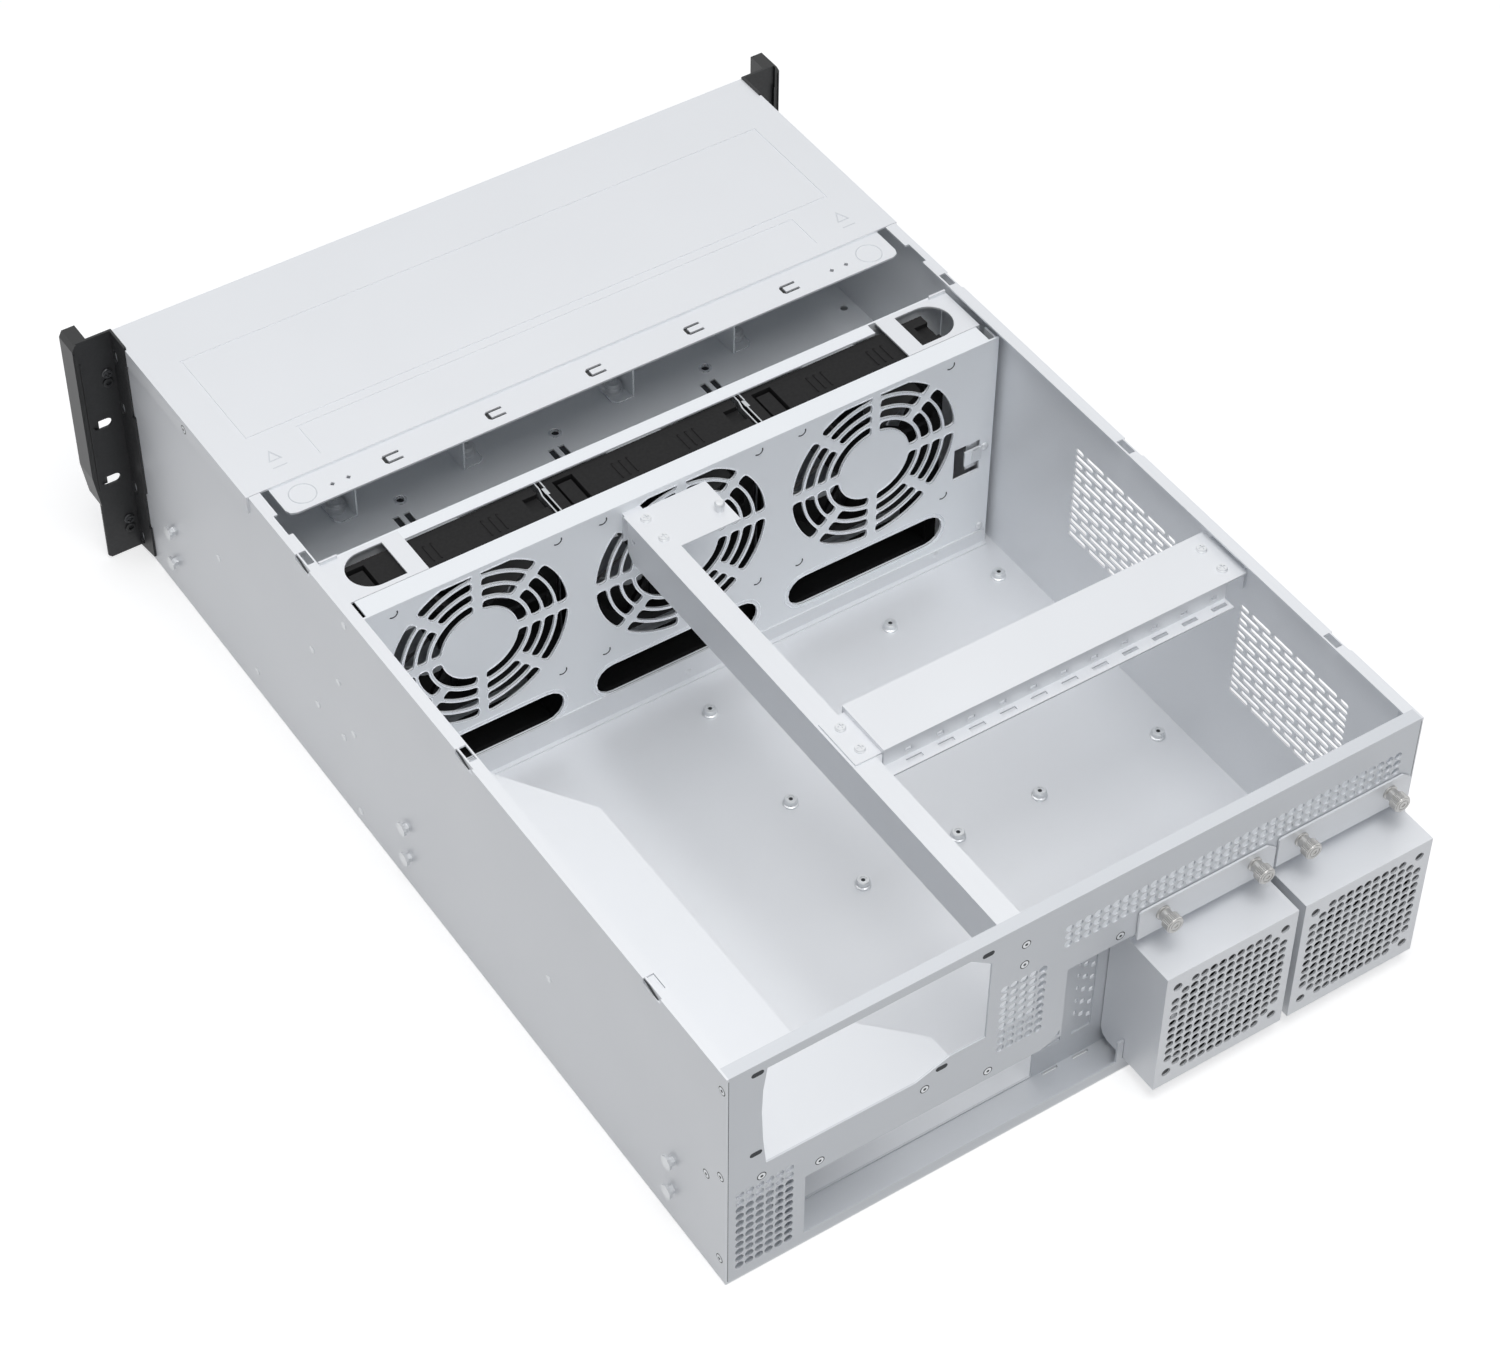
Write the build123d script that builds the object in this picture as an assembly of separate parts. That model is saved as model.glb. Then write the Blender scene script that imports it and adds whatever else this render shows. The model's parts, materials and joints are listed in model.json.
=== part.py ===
from build123d import *
import math
import os

# Empty rackmount server case, four rack units high, open behind a fixed front cover.
# The case is laid out in millimetres from its front plane: X runs across, with +X the power supply side,
# Y runs from the front to the rear, and Z runs up from the underside. When the sub-parts are written they
# are moved back by half the depth, so that the frame's origin is the middle of the underside.

# Driving dimensions of the case
SHEET = 1.2
CASE_WIDTH = 436.9
CASE_DEPTH = 650.2
CASE_HEIGHT = 170.7
COVER_DEPTH = 167.0
LIP_WIDTH = 7.2
COVER_LIP_DROP = 1.7
COVER_LIP_INSET = 12.95
WALL_OUT = CASE_WIDTH / 2
WALL_IN = WALL_OUT - SHEET
TOP_UNDER = CASE_HEIGHT - SHEET
REAR_IN = CASE_DEPTH - SHEET

# Fits between pieces
BODY_GAP = 0.4
SPINDLE_FIT = 0.05

# Lid hook notches along both side walls, as (start, end) distances from the front
LIP_RELIEF = (COVER_DEPTH + 21.0, COVER_DEPTH + 38.7)
LID_NOTCHES = ((LIP_RELIEF[1] + 15.3, LIP_RELIEF[1] + 31.3), (393.0, 410.0),
               (CASE_DEPTH - 75.2, CASE_DEPTH - 59.2))
NOTCH_DEPTH = 5.0

# Staggered side vents in the -X wall
SLOT_LENGTH = 17.1
SLOT_HEIGHT = 3.3
SLOT_GAP = 1.9
SLOT_ROW_PITCH = 10.1
SLOT_ROWS = 7
SLOTS_PER_ROW = 5
SLOT_TOP_ROW = TOP_UNDER - 38.0
SLOT_FIELDS = (CASE_DEPTH - 297.2, CASE_DEPTH - 145.7)

# Fan cage with its grilles
CAGE_TOP = TOP_UNDER - 4.0
CAGE_REAR = 280.0
CAGE_FRONT = 229.0
CAGE_HALF_WIDTH = WALL_IN - 3.65
CAGE_FLANGE = 14.4
END_PLATE_GAP = 3.4
END_PLATE_INNER = 160.0
END_PLATE_REAR = 265.2
FAN_PITCH = (CAGE_HALF_WIDTH - 13.65) / 1.5
FAN_CENTRES = (6.4 + FAN_PITCH, 6.4, 6.4 - FAN_PITCH)
FAN_HEIGHT = CAGE_TOP - 57.0
GRILLE_RINGS = ((24.9, 31.5), (33.7, 40.3), (42.0, 48.8), (50.5, 57.5))
GRILLE_SPOKES = 8
SPOKE_WIDTH = 5.4
GRILLE_TOP_LIMIT = GRILLE_RINGS[-1][1] - 4.5
CABLE_SLOT_LENGTH = 110.0
CABLE_SLOT_HEIGHT = 17.0
CABLE_SLOT_RISE = FAN_HEIGHT - 76.0
CABLE_SLOT_SHIFT = 2.8
CATCH_WINDOW = (FAN_HEIGHT - 43.8, FAN_HEIGHT - 19.5)

# Fan modules, seen from above between the cage's front rail and its rear flange
MODULE_FRONT = 238.4
MODULE_REAR = 264.4
MODULE_LEFT = FAN_PITCH / 2 + 1.75
MODULE_RIGHT = 6.65 - FAN_PITCH / 2
MODULE_TOP = CAGE_TOP - SHEET - 0.5
FAN_AXIS = FAN_HEIGHT - 3.0
LARGE_FAN_BORE = 54.0
SPINDLE_RADIUS = 2.5
FAN_BLADES = 6

# Middle shelf below the front cover, with its brackets
MID_SHELF_TOP = 82.0
MID_SHELF_START = 40.0
MID_SHELF_END = 226.0
BRACKET_PITCH = 190.6
BRACKET_WEBS = (135.5, -129.0 + BRACKET_PITCH, 135.5 - BRACKET_PITCH, -129.0)
BRACKET_REAR = 129.5

# Beams across the open bay
CARD_BEAM_TOP = TOP_UNDER - 5.0
CARD_BEAM_FOOT = CARD_BEAM_TOP - 13.5
BEAM_TOP = CARD_BEAM_TOP - 4.5
BEAM_SIDES = (32.3, 46.9)
BEAM_BOTTOM = BEAM_TOP - 29.0
BEAM_WING = (-7.0, 320.5)
CARD_BEAM_Y = (472.0, 510.5)
CARD_BEAM_X = (-WALL_IN + 4.25, 29.0)
CARD_HOLE_PITCH = 20.32
CARD_HOLES = 11
CARD_HOLE_FIRST = 12.7

# Studs for the main board: the four corners of its hole pattern, and those between them
BOARD_MIDDLE = -97.5
BOARD_HALF = 104.4
BOARD_ROWS = (310.6, 467.9)
STUD_TOP = 6.0

# Power supply shelf
SHELF_TOP = 83.0
SHELF_SIDE = WALL_IN - 1.25
SHELF_FOLD = 59.8
SHELF_FRONT = CAGE_REAR + 12.0
SHELF_EDGE = SHELF_SIDE - 79.5
SHELF_TAIL = SHELF_SIDE - 139.0
SHELF_OUTLINE = ((SHELF_SIDE, SHELF_FRONT), (SHELF_SIDE - 16.0, SHELF_FRONT + 16.0),
                 (SHELF_EDGE + 0.4, SHELF_FRONT + 109.3), (SHELF_EDGE, REAR_IN - 59.0),
                 (SHELF_TAIL + 35.0, REAR_IN - 57.0), (SHELF_TAIL + 0.9, REAR_IN - 21.2),
                 (SHELF_TAIL, REAR_IN), (SHELF_SIDE, REAR_IN))
SUPPLY_SIDE = WALL_IN - 19.45
SUPPLY_TOP = TOP_UNDER - 5.5

# Rear panel and its recess
RECESS_OUT = CASE_DEPTH - 20.7
IO_WIDTH = 158.75
IO_HEIGHT = 44.45
IO_LEFT = 168.35
IO_SILL = 3.2
CARD_PITCH = 20.32
CARD_COVERS = (-2.1, -2.1 - CARD_PITCH)
COVER_TOP = 112.0
OPENING_LEFT = IO_LEFT + 2.15
OPENING_RIGHT = -WALL_IN + 1.35
OPENING_TOP = 114.7
OPENING_STEP = (9.8, 57.3)
OPENING_SILL = 8.7
VENT_PITCH = 12.0
VENT_HALF = 4.2
TOP_VENT = (11.3, TOP_UNDER - 20.8, 19, 2)
MID_VENT = (50.2, 126.0, 3, 5)
LOW_VENT = (WALL_IN - 7.05, 71.3, 3, 6)

# Rear fan boxes on their captive thumbscrews
SMALL_FAN_HALF = 40.0
SMALL_FAN_DEPTH = 25.0
SMALL_FAN_BORE = SMALL_FAN_HALF - 1.5
BOX_WIDTH = 2 * SMALL_FAN_HALF + 7.0
BOX_CENTRES = (-79.5, -79.5 - BOX_WIDTH - 4.8)
BOX_FAN_HEIGHT = 56.0
BOX_BOTTOM = BOX_FAN_HEIGHT - SMALL_FAN_HALF - 6.0
BOX_TOP = BOX_FAN_HEIGHT + SMALL_FAN_HALF + 6.0
BOX_STEP = BOX_TOP + 10.2
BOX_FLANGE_TOP = BOX_STEP + 20.3
BOX_FACE = CASE_DEPTH + 26.3
BOX_WEB = CASE_DEPTH - 6.7
BOX_GRID = 7
BOX_SCREW_HALF = SMALL_FAN_HALF - 4.25
THUMBSCREW_HALF = BOX_WIDTH / 2 - 13.3
THUMBSCREW_HEIGHT = BOX_FLANGE_TOP - 8.5
THUMBSCREW_HEAD = 5.3
THUMBSCREW_SHANK = 2.0

# Rack ears
EAR_THICK = 1.5
EAR_EDGE = WALL_OUT + 23.35
EAR_HEIGHT = CASE_HEIGHT + 1.3
EAR_DEPTH = 19.5
RACK_HALF = WALL_OUT + 14.1
RACK_SLOTS = (60.8, 105.25)
HANDLE_EDGE = EAR_EDGE + 3.2

ACROSS = Plane((0, 0, 0), x_dir=(1, 0, 0), z_dir=(0, -1, 0))
ALONG = Plane((0, 0, 0), x_dir=(0, 1, 0), z_dir=(1, 0, 0))


def slab(x_span, y_span, z_span):
    """Block between two limits on each axis, given in any order."""
    sizes = [abs(span[1] - span[0]) for span in (x_span, y_span, z_span)]
    middle = [(span[0] + span[1]) / 2 for span in (x_span, y_span, z_span)]
    return Pos(*middle) * Box(*sizes)


def outline(points):
    """Closed wire of straight edges through flat points."""
    return Wire.make_polygon([(u, v, 0) for u, v in points], close=True)


def window(u_span, v_span):
    """Rectangular hole between two limits on each flat axis."""
    (u0, u1), (v0, v1) = u_span, v_span
    return outline([(u0, v0), (u1, v0), (u1, v1), (u0, v1)])


def vent_hole(u, v, half):
    """Small square hole standing on its corner, as a vent's round hole is drawn here."""
    return outline([(u + half, v), (u, v + half), (u - half, v), (u, v - half)])


def drilled(u, v, radius):
    """Round hole."""
    return Pos(u, v, 0) * Wire.make_circle(radius)


def obround(u, v, length, width):
    """Slot with round ends, along the first flat axis."""
    reach, end = (length - width) / 2, width / 2
    rim = Wire([
        Edge.make_line((-reach, -end, 0), (reach, -end, 0)),
        Edge.make_three_point_arc((reach, -end, 0), (reach + end, 0, 0), (reach, end, 0)),
        Edge.make_line((reach, end, 0), (-reach, end, 0)),
        Edge.make_three_point_arc((-reach, end, 0), (-reach - end, 0, 0), (-reach, -end, 0)),
    ])
    return Pos(u, v, 0) * rim


def polar(radius, angle):
    """Flat point at a radius and an angle in degrees."""
    return (radius * math.cos(math.radians(angle)), radius * math.sin(math.radians(angle)), 0)


def arc_points(radius, angles, chords):
    """Points of an arc that is drawn with a few chords."""
    first, last = angles
    trim = math.degrees(math.asin(SPOKE_WIDTH / 2 / radius))
    step = (last - first - 2 * trim) / chords
    return [polar(radius, first + trim + step * index)[:2] for index in range(chords + 1)]


def arc_slot(radii, angles):
    """Part of a ring between two radii and two spokes."""
    chords = round((angles[1] - angles[0]) / 22.5)
    outer = arc_points(radii[1], angles, chords)
    inner = arc_points(radii[0], angles, chords)
    return outline(outer + inner[::-1])


def clipped_slot(radii, mirrored):
    """Top slot of the widest ring, cut flat below the wall's folded flange."""
    inner, outer = radii
    side = -1 if mirrored else 1
    half = SPOKE_WIDTH / 2
    low_angle = 45 + math.degrees(math.asin(half / outer))
    low_inner = 45 + math.degrees(math.asin(half / inner))
    flat_angle = math.degrees(math.asin(GRILLE_TOP_LIMIT / outer))
    points = [polar(inner, low_inner), polar(outer, low_angle), polar(outer, flat_angle),
              (half, GRILLE_TOP_LIMIT, 0), (half, math.sqrt(inner ** 2 - half ** 2), 0), polar(inner, 67)]
    return outline([(side * point[0], point[1]) for point in points])


def flat_sheet(rim, holes, plane, start, stop):
    """Sheet cut flat and stood in a plane, filling the space between two depths on its normal."""
    blank = Solid.extrude(Face(rim, holes), Vector(0, 0, stop - start))
    return plane.location * Pos(0, 0, start) * blank


def across_sheet(rim, holes, y_span):
    """Upright sheet facing the rear, between two distances from the front."""
    return flat_sheet(rim, holes, ACROSS, -max(y_span), -min(y_span))


def along_sheet(rim, holes, x_span):
    """Upright sheet facing sideways."""
    return flat_sheet(rim, holes, ALONG, min(x_span), max(x_span))


def level_sheet(rim, holes, z_span):
    """Level sheet between two heights."""
    return flat_sheet(rim, holes, Plane.XY, min(z_span), max(z_span))


def rod_y(x, z, radius, y_span):
    """Round rod along the depth of the case."""
    length = abs(y_span[1] - y_span[0])
    return Pos(x, sum(y_span) / 2, z) * Rot(90, 0, 0) * Cylinder(radius, length)


def many_sided(u, v, radius, sides=8):
    """Regular hole or rim with few sides, which stands for a small round one."""
    return Pos(u, v, 0) * outline([polar(radius, 360 / sides * (k + 0.5))[:2] for k in range(sides)])


def mirrored_x(shape):
    """The same piece on the other side of the case."""
    return shape.mirror(Plane.YZ)


def side_vent_holes():
    """Two fields of staggered slots, every other row starting with half a slot."""
    pitch = SLOT_LENGTH + SLOT_GAP
    holes = []
    for start in SLOT_FIELDS:
        end = start + SLOTS_PER_ROW * pitch - SLOT_GAP
        for row in range(SLOT_ROWS):
            z = SLOT_TOP_ROW - row * SLOT_ROW_PITCH
            shift = pitch / 2 if row % 2 == 0 else 0
            count = SLOTS_PER_ROW + (1 if row % 2 == 0 else 0)
            for index in range(count):
                low = max(start, start + index * pitch - shift)
                high = min(end, start + index * pitch - shift + SLOT_LENGTH)
                holes.append(window((low, high), (z - SLOT_HEIGHT / 2, z + SLOT_HEIGHT / 2)))
    return holes


def ledge_slits():
    """Slits for the tongues of the card slot covers, through the floor and the ledge on it."""
    return [window((x - 5.2, x + 5.2), (RECESS_OUT + 0.8, RECESS_OUT + 2.4)) for x in CARD_COVERS]


def top_lip():
    """Inward fold along the top of the +X wall, narrower beside the cover and notched for lid hooks."""
    inner = WALL_OUT - LIP_WIDTH
    start, end = COVER_DEPTH + BODY_GAP, BOX_WEB - SHEET
    relief = inner + 2.6
    rim = outline([(WALL_OUT, start), (WALL_OUT, end), (inner, end), (inner, LIP_RELIEF[1]),
                   (relief, LIP_RELIEF[1]), (relief, LIP_RELIEF[0]), (inner, LIP_RELIEF[0]), (inner, start)])
    holes = [window((WALL_IN - NOTCH_DEPTH, WALL_OUT - 2.0), (low, high - 5)) for low, high in LID_NOTCHES]
    return level_sheet(rim, holes, (TOP_UNDER, CASE_HEIGHT))


def base_floor():
    """Floor of the folded tray, under both side walls."""
    return level_sheet(window((-WALL_OUT, WALL_OUT), (0, CASE_DEPTH)), ledge_slits(), (0, SHEET))


def side_wall(vents):
    """Side wall of the folded tray on the +X side, with its lip along the open bay and its lid notches."""
    rim = outline([(0, SHEET), (CASE_DEPTH, SHEET), (CASE_DEPTH, CASE_HEIGHT),
                   (BOX_WEB - SHEET, CASE_HEIGHT), (BOX_WEB - SHEET, TOP_UNDER), (0, TOP_UNDER)])
    wall = along_sheet(rim, vents, (WALL_IN, WALL_OUT)) + top_lip()
    for low, high in LID_NOTCHES:
        wall -= slab((WALL_IN + 0.2, WALL_OUT + 1), (low, high), (TOP_UNDER - 2.9, CASE_HEIGHT + 1))
    return wall


def front_panel():
    """Plain front wall with two rows of air slots, hidden in the photograph."""
    holes = [window((x - 38, x + 38), (z, z + 14)) for x in (-150, -50, 50, 150) for z in (46, 118)]
    rim = window((-WALL_IN, WALL_IN), (SHEET, TOP_UNDER))
    return across_sheet(rim, holes, (0, SHEET))


def cover_top_cutters():
    """Shallow pressed lines of the cover: one long rectangle and one open one behind it."""
    line = 1.4
    z_span = (CASE_HEIGHT - 0.4, CASE_HEIGHT + 1)
    long_half, open_half = WALL_OUT - 20.45, WALL_OUT - 49.85
    lines = [(long_half, 46.0, COVER_DEPTH - 41.7), (open_half, COVER_DEPTH - 36.4, COVER_DEPTH - 9.4)]
    cutters = [slab((-long_half, long_half), (lines[0][2] - line, lines[0][2]), z_span)]
    for half_width, front, rear in lines:
        cutters.append(slab((-half_width, half_width), (front, front + line), z_span))
        for side in (-1, 1):
            cutters.append(slab((side * half_width, side * (half_width - line)), (front, rear), z_span))
    return cutters


def catch_slit(x, y):
    """U-shaped cut that leaves a small spring catch in the cover's rear lip."""
    reach, half, cut = 5.0, 3.4, 1.3
    return outline([(x + reach, y - half), (x - reach + 1.5, y - half), (x - reach, y - half + 1.5),
                    (x - reach, y + half - 1.5), (x - reach + 1.5, y + half), (x + reach, y + half),
                    (x + reach, y + half - cut), (x - reach + cut + 0.6, y + half - cut),
                    (x - reach + cut + 0.6, y - half + cut), (x + reach, y - half + cut)])


def front_cover():
    """Fixed cover over the drive area, with side flanges and a joggled rear lip."""
    flange_out = WALL_OUT + SHEET
    cover = slab((-WALL_OUT, WALL_OUT), (0, COVER_DEPTH), (TOP_UNDER, CASE_HEIGHT))
    for side in (-1, 1):
        cover += slab((side * WALL_OUT, side * flange_out), (EAR_DEPTH + 1, COVER_DEPTH),
                      (CASE_HEIGHT - 12.2, CASE_HEIGHT))
    for cutter in cover_top_cutters():
        cover -= cutter
    lip_top, lip_half = CASE_HEIGHT - COVER_LIP_DROP, WALL_OUT - COVER_LIP_INSET
    lip_end, corner = COVER_DEPTH + 24.0, 5.0
    half_rim = [(lip_half, COVER_DEPTH), (lip_half, lip_end - corner), (lip_half - 1.5, lip_end - 1.5),
                (lip_half - corner, lip_end)]
    lip_rim = outline(half_rim + [(-x, y) for x, y in half_rim[::-1]])
    holes = [catch_slit(x, COVER_DEPTH + 13.6) for x in (134.6, 67.7, 0.8, -66.1, -133.0)]
    holes += [vent_hole(side * x, COVER_DEPTH + 14.3, 1.6) for side in (-1, 1) for x in (173.2, 163.0)]
    cover += level_sheet(lip_rim, holes, (lip_top - SHEET, lip_top))
    step = slab((-lip_half, lip_half), (COVER_DEPTH - SHEET, COVER_DEPTH + 0.1),
                (lip_top - SHEET, TOP_UNDER + 0.1))
    return cover + step


def mid_shelf():
    """Level plate below the cover, with cable holes and three locating windows."""
    holes = [many_sided(x, 131.0, 2.6) for x in (107.0, 0.5, -106.5, -209.0)]
    for x in (113.0, 7.0, -100.5):
        holes.append(window((x + 1.5, x + 5.5), (142.0, 152.0)))
        holes.append(window((x - 5.5, x - 1.5), (142.0, 152.0)))
    rim = window((-WALL_IN, WALL_IN), (MID_SHELF_START, MID_SHELF_END))
    shelf = level_sheet(rim, holes, (MID_SHELF_TOP - SHEET, MID_SHELF_TOP))
    for side in (-1, 1):
        shelf += slab((side * (WALL_IN - SHEET), side * WALL_IN), (MID_SHELF_START, MID_SHELF_END),
                      (MID_SHELF_TOP - 12, MID_SHELF_TOP - SHEET + 0.1))
    return shelf


def cage_bracket(web, foot_side):
    """Upright web with a foot that takes a spring screw; the foot points to one side."""
    floor, top = MID_SHELF_TOP, TOP_UNDER - 19.5
    web_rim = outline([(98.0, floor), (BRACKET_REAR, floor), (BRACKET_REAR, top - 32.0), (116.0, top),
                       (98.0, top)])
    bracket = along_sheet(web_rim, [], (web, web - foot_side * SHEET))
    foot_rim = outline([(web, 108.0), (web + foot_side * 10.0, 108.0), (web + foot_side * 13.0, 111.0),
                        (web + foot_side * 13.0, 126.5), (web + foot_side * 10.0, BRACKET_REAR),
                        (web, BRACKET_REAR)])
    hole = many_sided(web + foot_side * 7.2, 118.0, 2.4)
    return bracket + level_sheet(foot_rim, [hole], (floor, floor + SHEET))


def spring_screw(web, foot_side):
    """Screw with its spring cup, standing on a bracket's foot."""
    x, y, floor = web + foot_side * 7.2, 118.0, MID_SHELF_TOP + SHEET
    screw = level_sheet(many_sided(x, y, 5.4), [], (floor, floor + 3.5))
    screw += level_sheet(many_sided(x, y, 4.3), [], (floor + 3.5, floor + 7.0))
    return screw + level_sheet(many_sided(x, y, 2.0), [], (MID_SHELF_TOP, floor))


def grille_holes(centre):
    """Four rings of arc slots; the inner ring keeps only the four square spokes."""
    holes = []
    step = 360 / GRILLE_SPOKES
    for number, radii in enumerate(GRILLE_RINGS):
        width = 90 if number == 0 else step
        for index in range(round(360 / width)):
            first = index * width
            clipped = number == len(GRILLE_RINGS) - 1 and first in (45, 90)
            slot = clipped_slot(radii, first == 90) if clipped else arc_slot(radii, (first, first + width))
            holes.append(Pos(centre, FAN_HEIGHT, 0) * slot)
    return holes


def fan_wall():
    """Rear wall of the fan cage: three grilles, cable slots and a folded top flange."""
    holes = []
    for centre in FAN_CENTRES:
        holes += grille_holes(centre)
        holes.append(obround(centre + CABLE_SLOT_SHIFT, CABLE_SLOT_RISE, CABLE_SLOT_LENGTH,
                             CABLE_SLOT_HEIGHT))
    low, high = CATCH_WINDOW
    edge = -CAGE_HALF_WIDTH + 8.6
    holes.append(outline([(edge + 19.0, low), (edge + 19.0, high), (edge, high), (edge, high - 6.0),
                          (edge + 11.0, high - 6.0), (edge + 11.0, low + 7.3), (edge, low + 7.3),
                          (edge, low)]))
    rim = window((-CAGE_HALF_WIDTH, CAGE_HALF_WIDTH), (SHEET, CAGE_TOP))
    wall = across_sheet(rim, holes, (CAGE_REAR - SHEET, CAGE_REAR))
    flange_half = CAGE_HALF_WIDTH - 6.6
    wall += slab((-flange_half, flange_half), (CAGE_REAR - CAGE_FLANGE, CAGE_REAR),
                 (CAGE_TOP - SHEET, CAGE_TOP))
    for side in (-1, 1):
        wall += slab((side * CAGE_HALF_WIDTH, side * (CAGE_HALF_WIDTH - SHEET)),
                     (CAGE_REAR - CAGE_FLANGE + 1.4, CAGE_REAR), (SHEET, CAGE_TOP - 2))
    return wall


def wall_foot():
    """Low folded strip along the foot of the fan wall."""
    half = CAGE_HALF_WIDTH - 1.6
    foot_rim = outline([(-half, SHEET), (half, SHEET), (half, 20.0), (-12.0, 20.0), (-50.0, 12.5),
                        (-half, 12.5)])
    foot = across_sheet(foot_rim, [], (CAGE_REAR, CAGE_REAR + SHEET))
    return foot + slab((-half, half), (CAGE_REAR, CAGE_REAR + 4.0), (SHEET, SHEET * 2))


def cage_front():
    """Front wall of the fan cage with three round openings and a rail along its top."""
    holes = [many_sided(centre, FAN_AXIS, LARGE_FAN_BORE, 16) for centre in FAN_CENTRES]
    rim = window((-CAGE_HALF_WIDTH + 5, CAGE_HALF_WIDTH - 5), (SHEET, CAGE_TOP))
    front = across_sheet(rim, holes, (CAGE_FRONT, CAGE_FRONT + SHEET))
    return front + slab((-155.0, 160.0), (CAGE_FRONT, MODULE_FRONT - 0.4), (CAGE_TOP - SHEET, CAGE_TOP))


def d_hole(round_x, flat_x, y_span):
    """Finger hole, round towards the side wall and square towards the fans."""
    middle, half = sum(y_span) / 2, (y_span[1] - y_span[0]) / 2
    sign = 1 if round_x > flat_x else -1
    turn = round_x - sign * half
    return Wire([
        Edge.make_line((flat_x, y_span[0], 0), (turn, y_span[0], 0)),
        Edge.make_three_point_arc((turn, y_span[0], 0), (round_x, middle, 0), (turn, y_span[1], 0)),
        Edge.make_line((turn, y_span[1], 0), (flat_x, y_span[1], 0)),
        Edge.make_line((flat_x, y_span[1], 0), (flat_x, y_span[0], 0)),
    ])


def cage_end():
    """End plate over the +X end of the cage, with its side wall and a raised finger lip."""
    outer, inner = CAGE_HALF_WIDTH - END_PLATE_GAP, END_PLATE_INNER
    front, rear = CAGE_FRONT + SHEET, END_PLATE_REAR
    rim = window((inner, outer), (front, rear))
    finger_hole = d_hole(outer - 9.2, inner + 11.7, (front + 3.2, rear - 3.2))
    plate = level_sheet(rim, [finger_hole], (CAGE_TOP - SHEET, CAGE_TOP))
    plate += slab((outer - SHEET, outer), (front, rear), (SHEET, CAGE_TOP))
    return plate + slab((outer - 12, outer - 0.6), (front, front + SHEET), (CAGE_TOP - SHEET, CAGE_TOP + 2.4))


def divider_clip(x):
    """Bent spring strip that stands between two fan modules."""
    front, bend, rear = CAGE_FRONT + SHEET + 0.2, MODULE_FRONT + 4.6, END_PLATE_REAR - 0.4
    strip = outline([(x - 0.9, front), (x - 0.1, front), (x - 0.1, bend), (x + 1.3, bend + 6.0),
                     (x + 1.3, rear), (x + 0.5, rear), (x + 0.5, bend + 6.2), (x - 0.9, bend + 0.2)])
    return level_sheet(strip, [], (60.0, CAGE_TOP - SHEET))


def spindle_frame(centre, height, bore, y_span, spindle_span):
    """Three spokes and a hub plate across a fan's bore, with the fixed spindle."""
    hub = bore * 0.34
    frame = across_sheet(many_sided(centre, height, hub, 8), [], y_span)
    for index in range(3):
        spoke = Pos(0, 0, (hub + bore) / 2) * Box(3.0, abs(y_span[1] - y_span[0]), bore - hub + 3.0)
        frame += Pos(centre, sum(y_span) / 2, height) * Rot(0, 120 * index + 30, 0) * spoke
    return frame + rod_y(centre, height, SPINDLE_RADIUS, spindle_span)


def fan_module(centre):
    """Black housing of one large fan: a window for cables below and a latch on top."""
    left, right = centre + MODULE_LEFT, centre + MODULE_RIGHT
    left = min(left, CAGE_HALF_WIDTH - END_PLATE_GAP - SHEET - 0.2)
    rim = window((right, left), (SHEET, MODULE_TOP))
    cable_window = (centre + MODULE_RIGHT + 8.0, centre + MODULE_LEFT - 11.4)
    holes = [many_sided(centre, FAN_AXIS, LARGE_FAN_BORE, 16),
             window(cable_window, (6.0, CABLE_SLOT_RISE + 13.5))]
    housing = across_sheet(rim, holes, (MODULE_FRONT, MODULE_REAR))
    housing += spindle_frame(centre, FAN_AXIS, LARGE_FAN_BORE, (MODULE_REAR - 2.5, MODULE_REAR),
                             (MODULE_FRONT + 3.0, MODULE_REAR - 2.4))
    latch_front = MODULE_FRONT + 3.6
    housing -= slab((left - 7.0, left - 20.0), (latch_front, MODULE_REAR + 1),
                    (MODULE_TOP - 6.0, MODULE_TOP + 1))
    return housing + slab((left - 9.0, left - 18.0), (latch_front + 2.5, MODULE_REAR - 1),
                          (MODULE_TOP - 6.1, MODULE_TOP - 1.0))


def fan_rotor(centre, height, bore, y_span):
    """Hub with turned blades, bored for the fixed spindle."""
    low, high = min(y_span), max(y_span)
    hub, tip = bore * 0.36, bore - 2.0
    depth = high - low
    rotor = across_sheet(many_sided(0, 0, hub, 10), [], (0, depth))
    blade = Pos(0, depth / 2, (hub + tip) / 2 - 0.5) * Rot(0, 0, 52) * Box(1.6, depth * 0.95, tip - hub + 1.0)
    for index in range(FAN_BLADES):
        rotor += Rot(0, 360 / FAN_BLADES * index, 0) * blade
    rotor -= rod_y(0, 0, SPINDLE_RADIUS + SPINDLE_FIT, (-1, depth + 1))
    return Pos(centre, low, height) * rotor


def centre_beam():
    """Inverted channel from the fan wall to the rear panel, with a wing at its front."""
    right, left = BEAM_SIDES
    rim = outline([(left, CAGE_REAR + 4.2), (left, REAR_IN), (right, REAR_IN), (right, BEAM_WING[1]),
                   (BEAM_WING[0], BEAM_WING[1]), (BEAM_WING[0], CAGE_REAR + 4.2)])
    beam = level_sheet(rim, [], (BEAM_TOP - SHEET, BEAM_TOP))
    side_rim = outline([(288.0, BEAM_TOP - SHEET), (288.0, BEAM_BOTTOM + 6), (293.0, BEAM_BOTTOM),
                        (REAR_IN, BEAM_BOTTOM), (REAR_IN, BEAM_TOP - SHEET)])
    beam += along_sheet(side_rim, [many_sided(294.0, BEAM_TOP - 12.0, 1.8)], (left - SHEET, left))
    return beam + along_sheet(side_rim, [], (right, right + SHEET))


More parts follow.
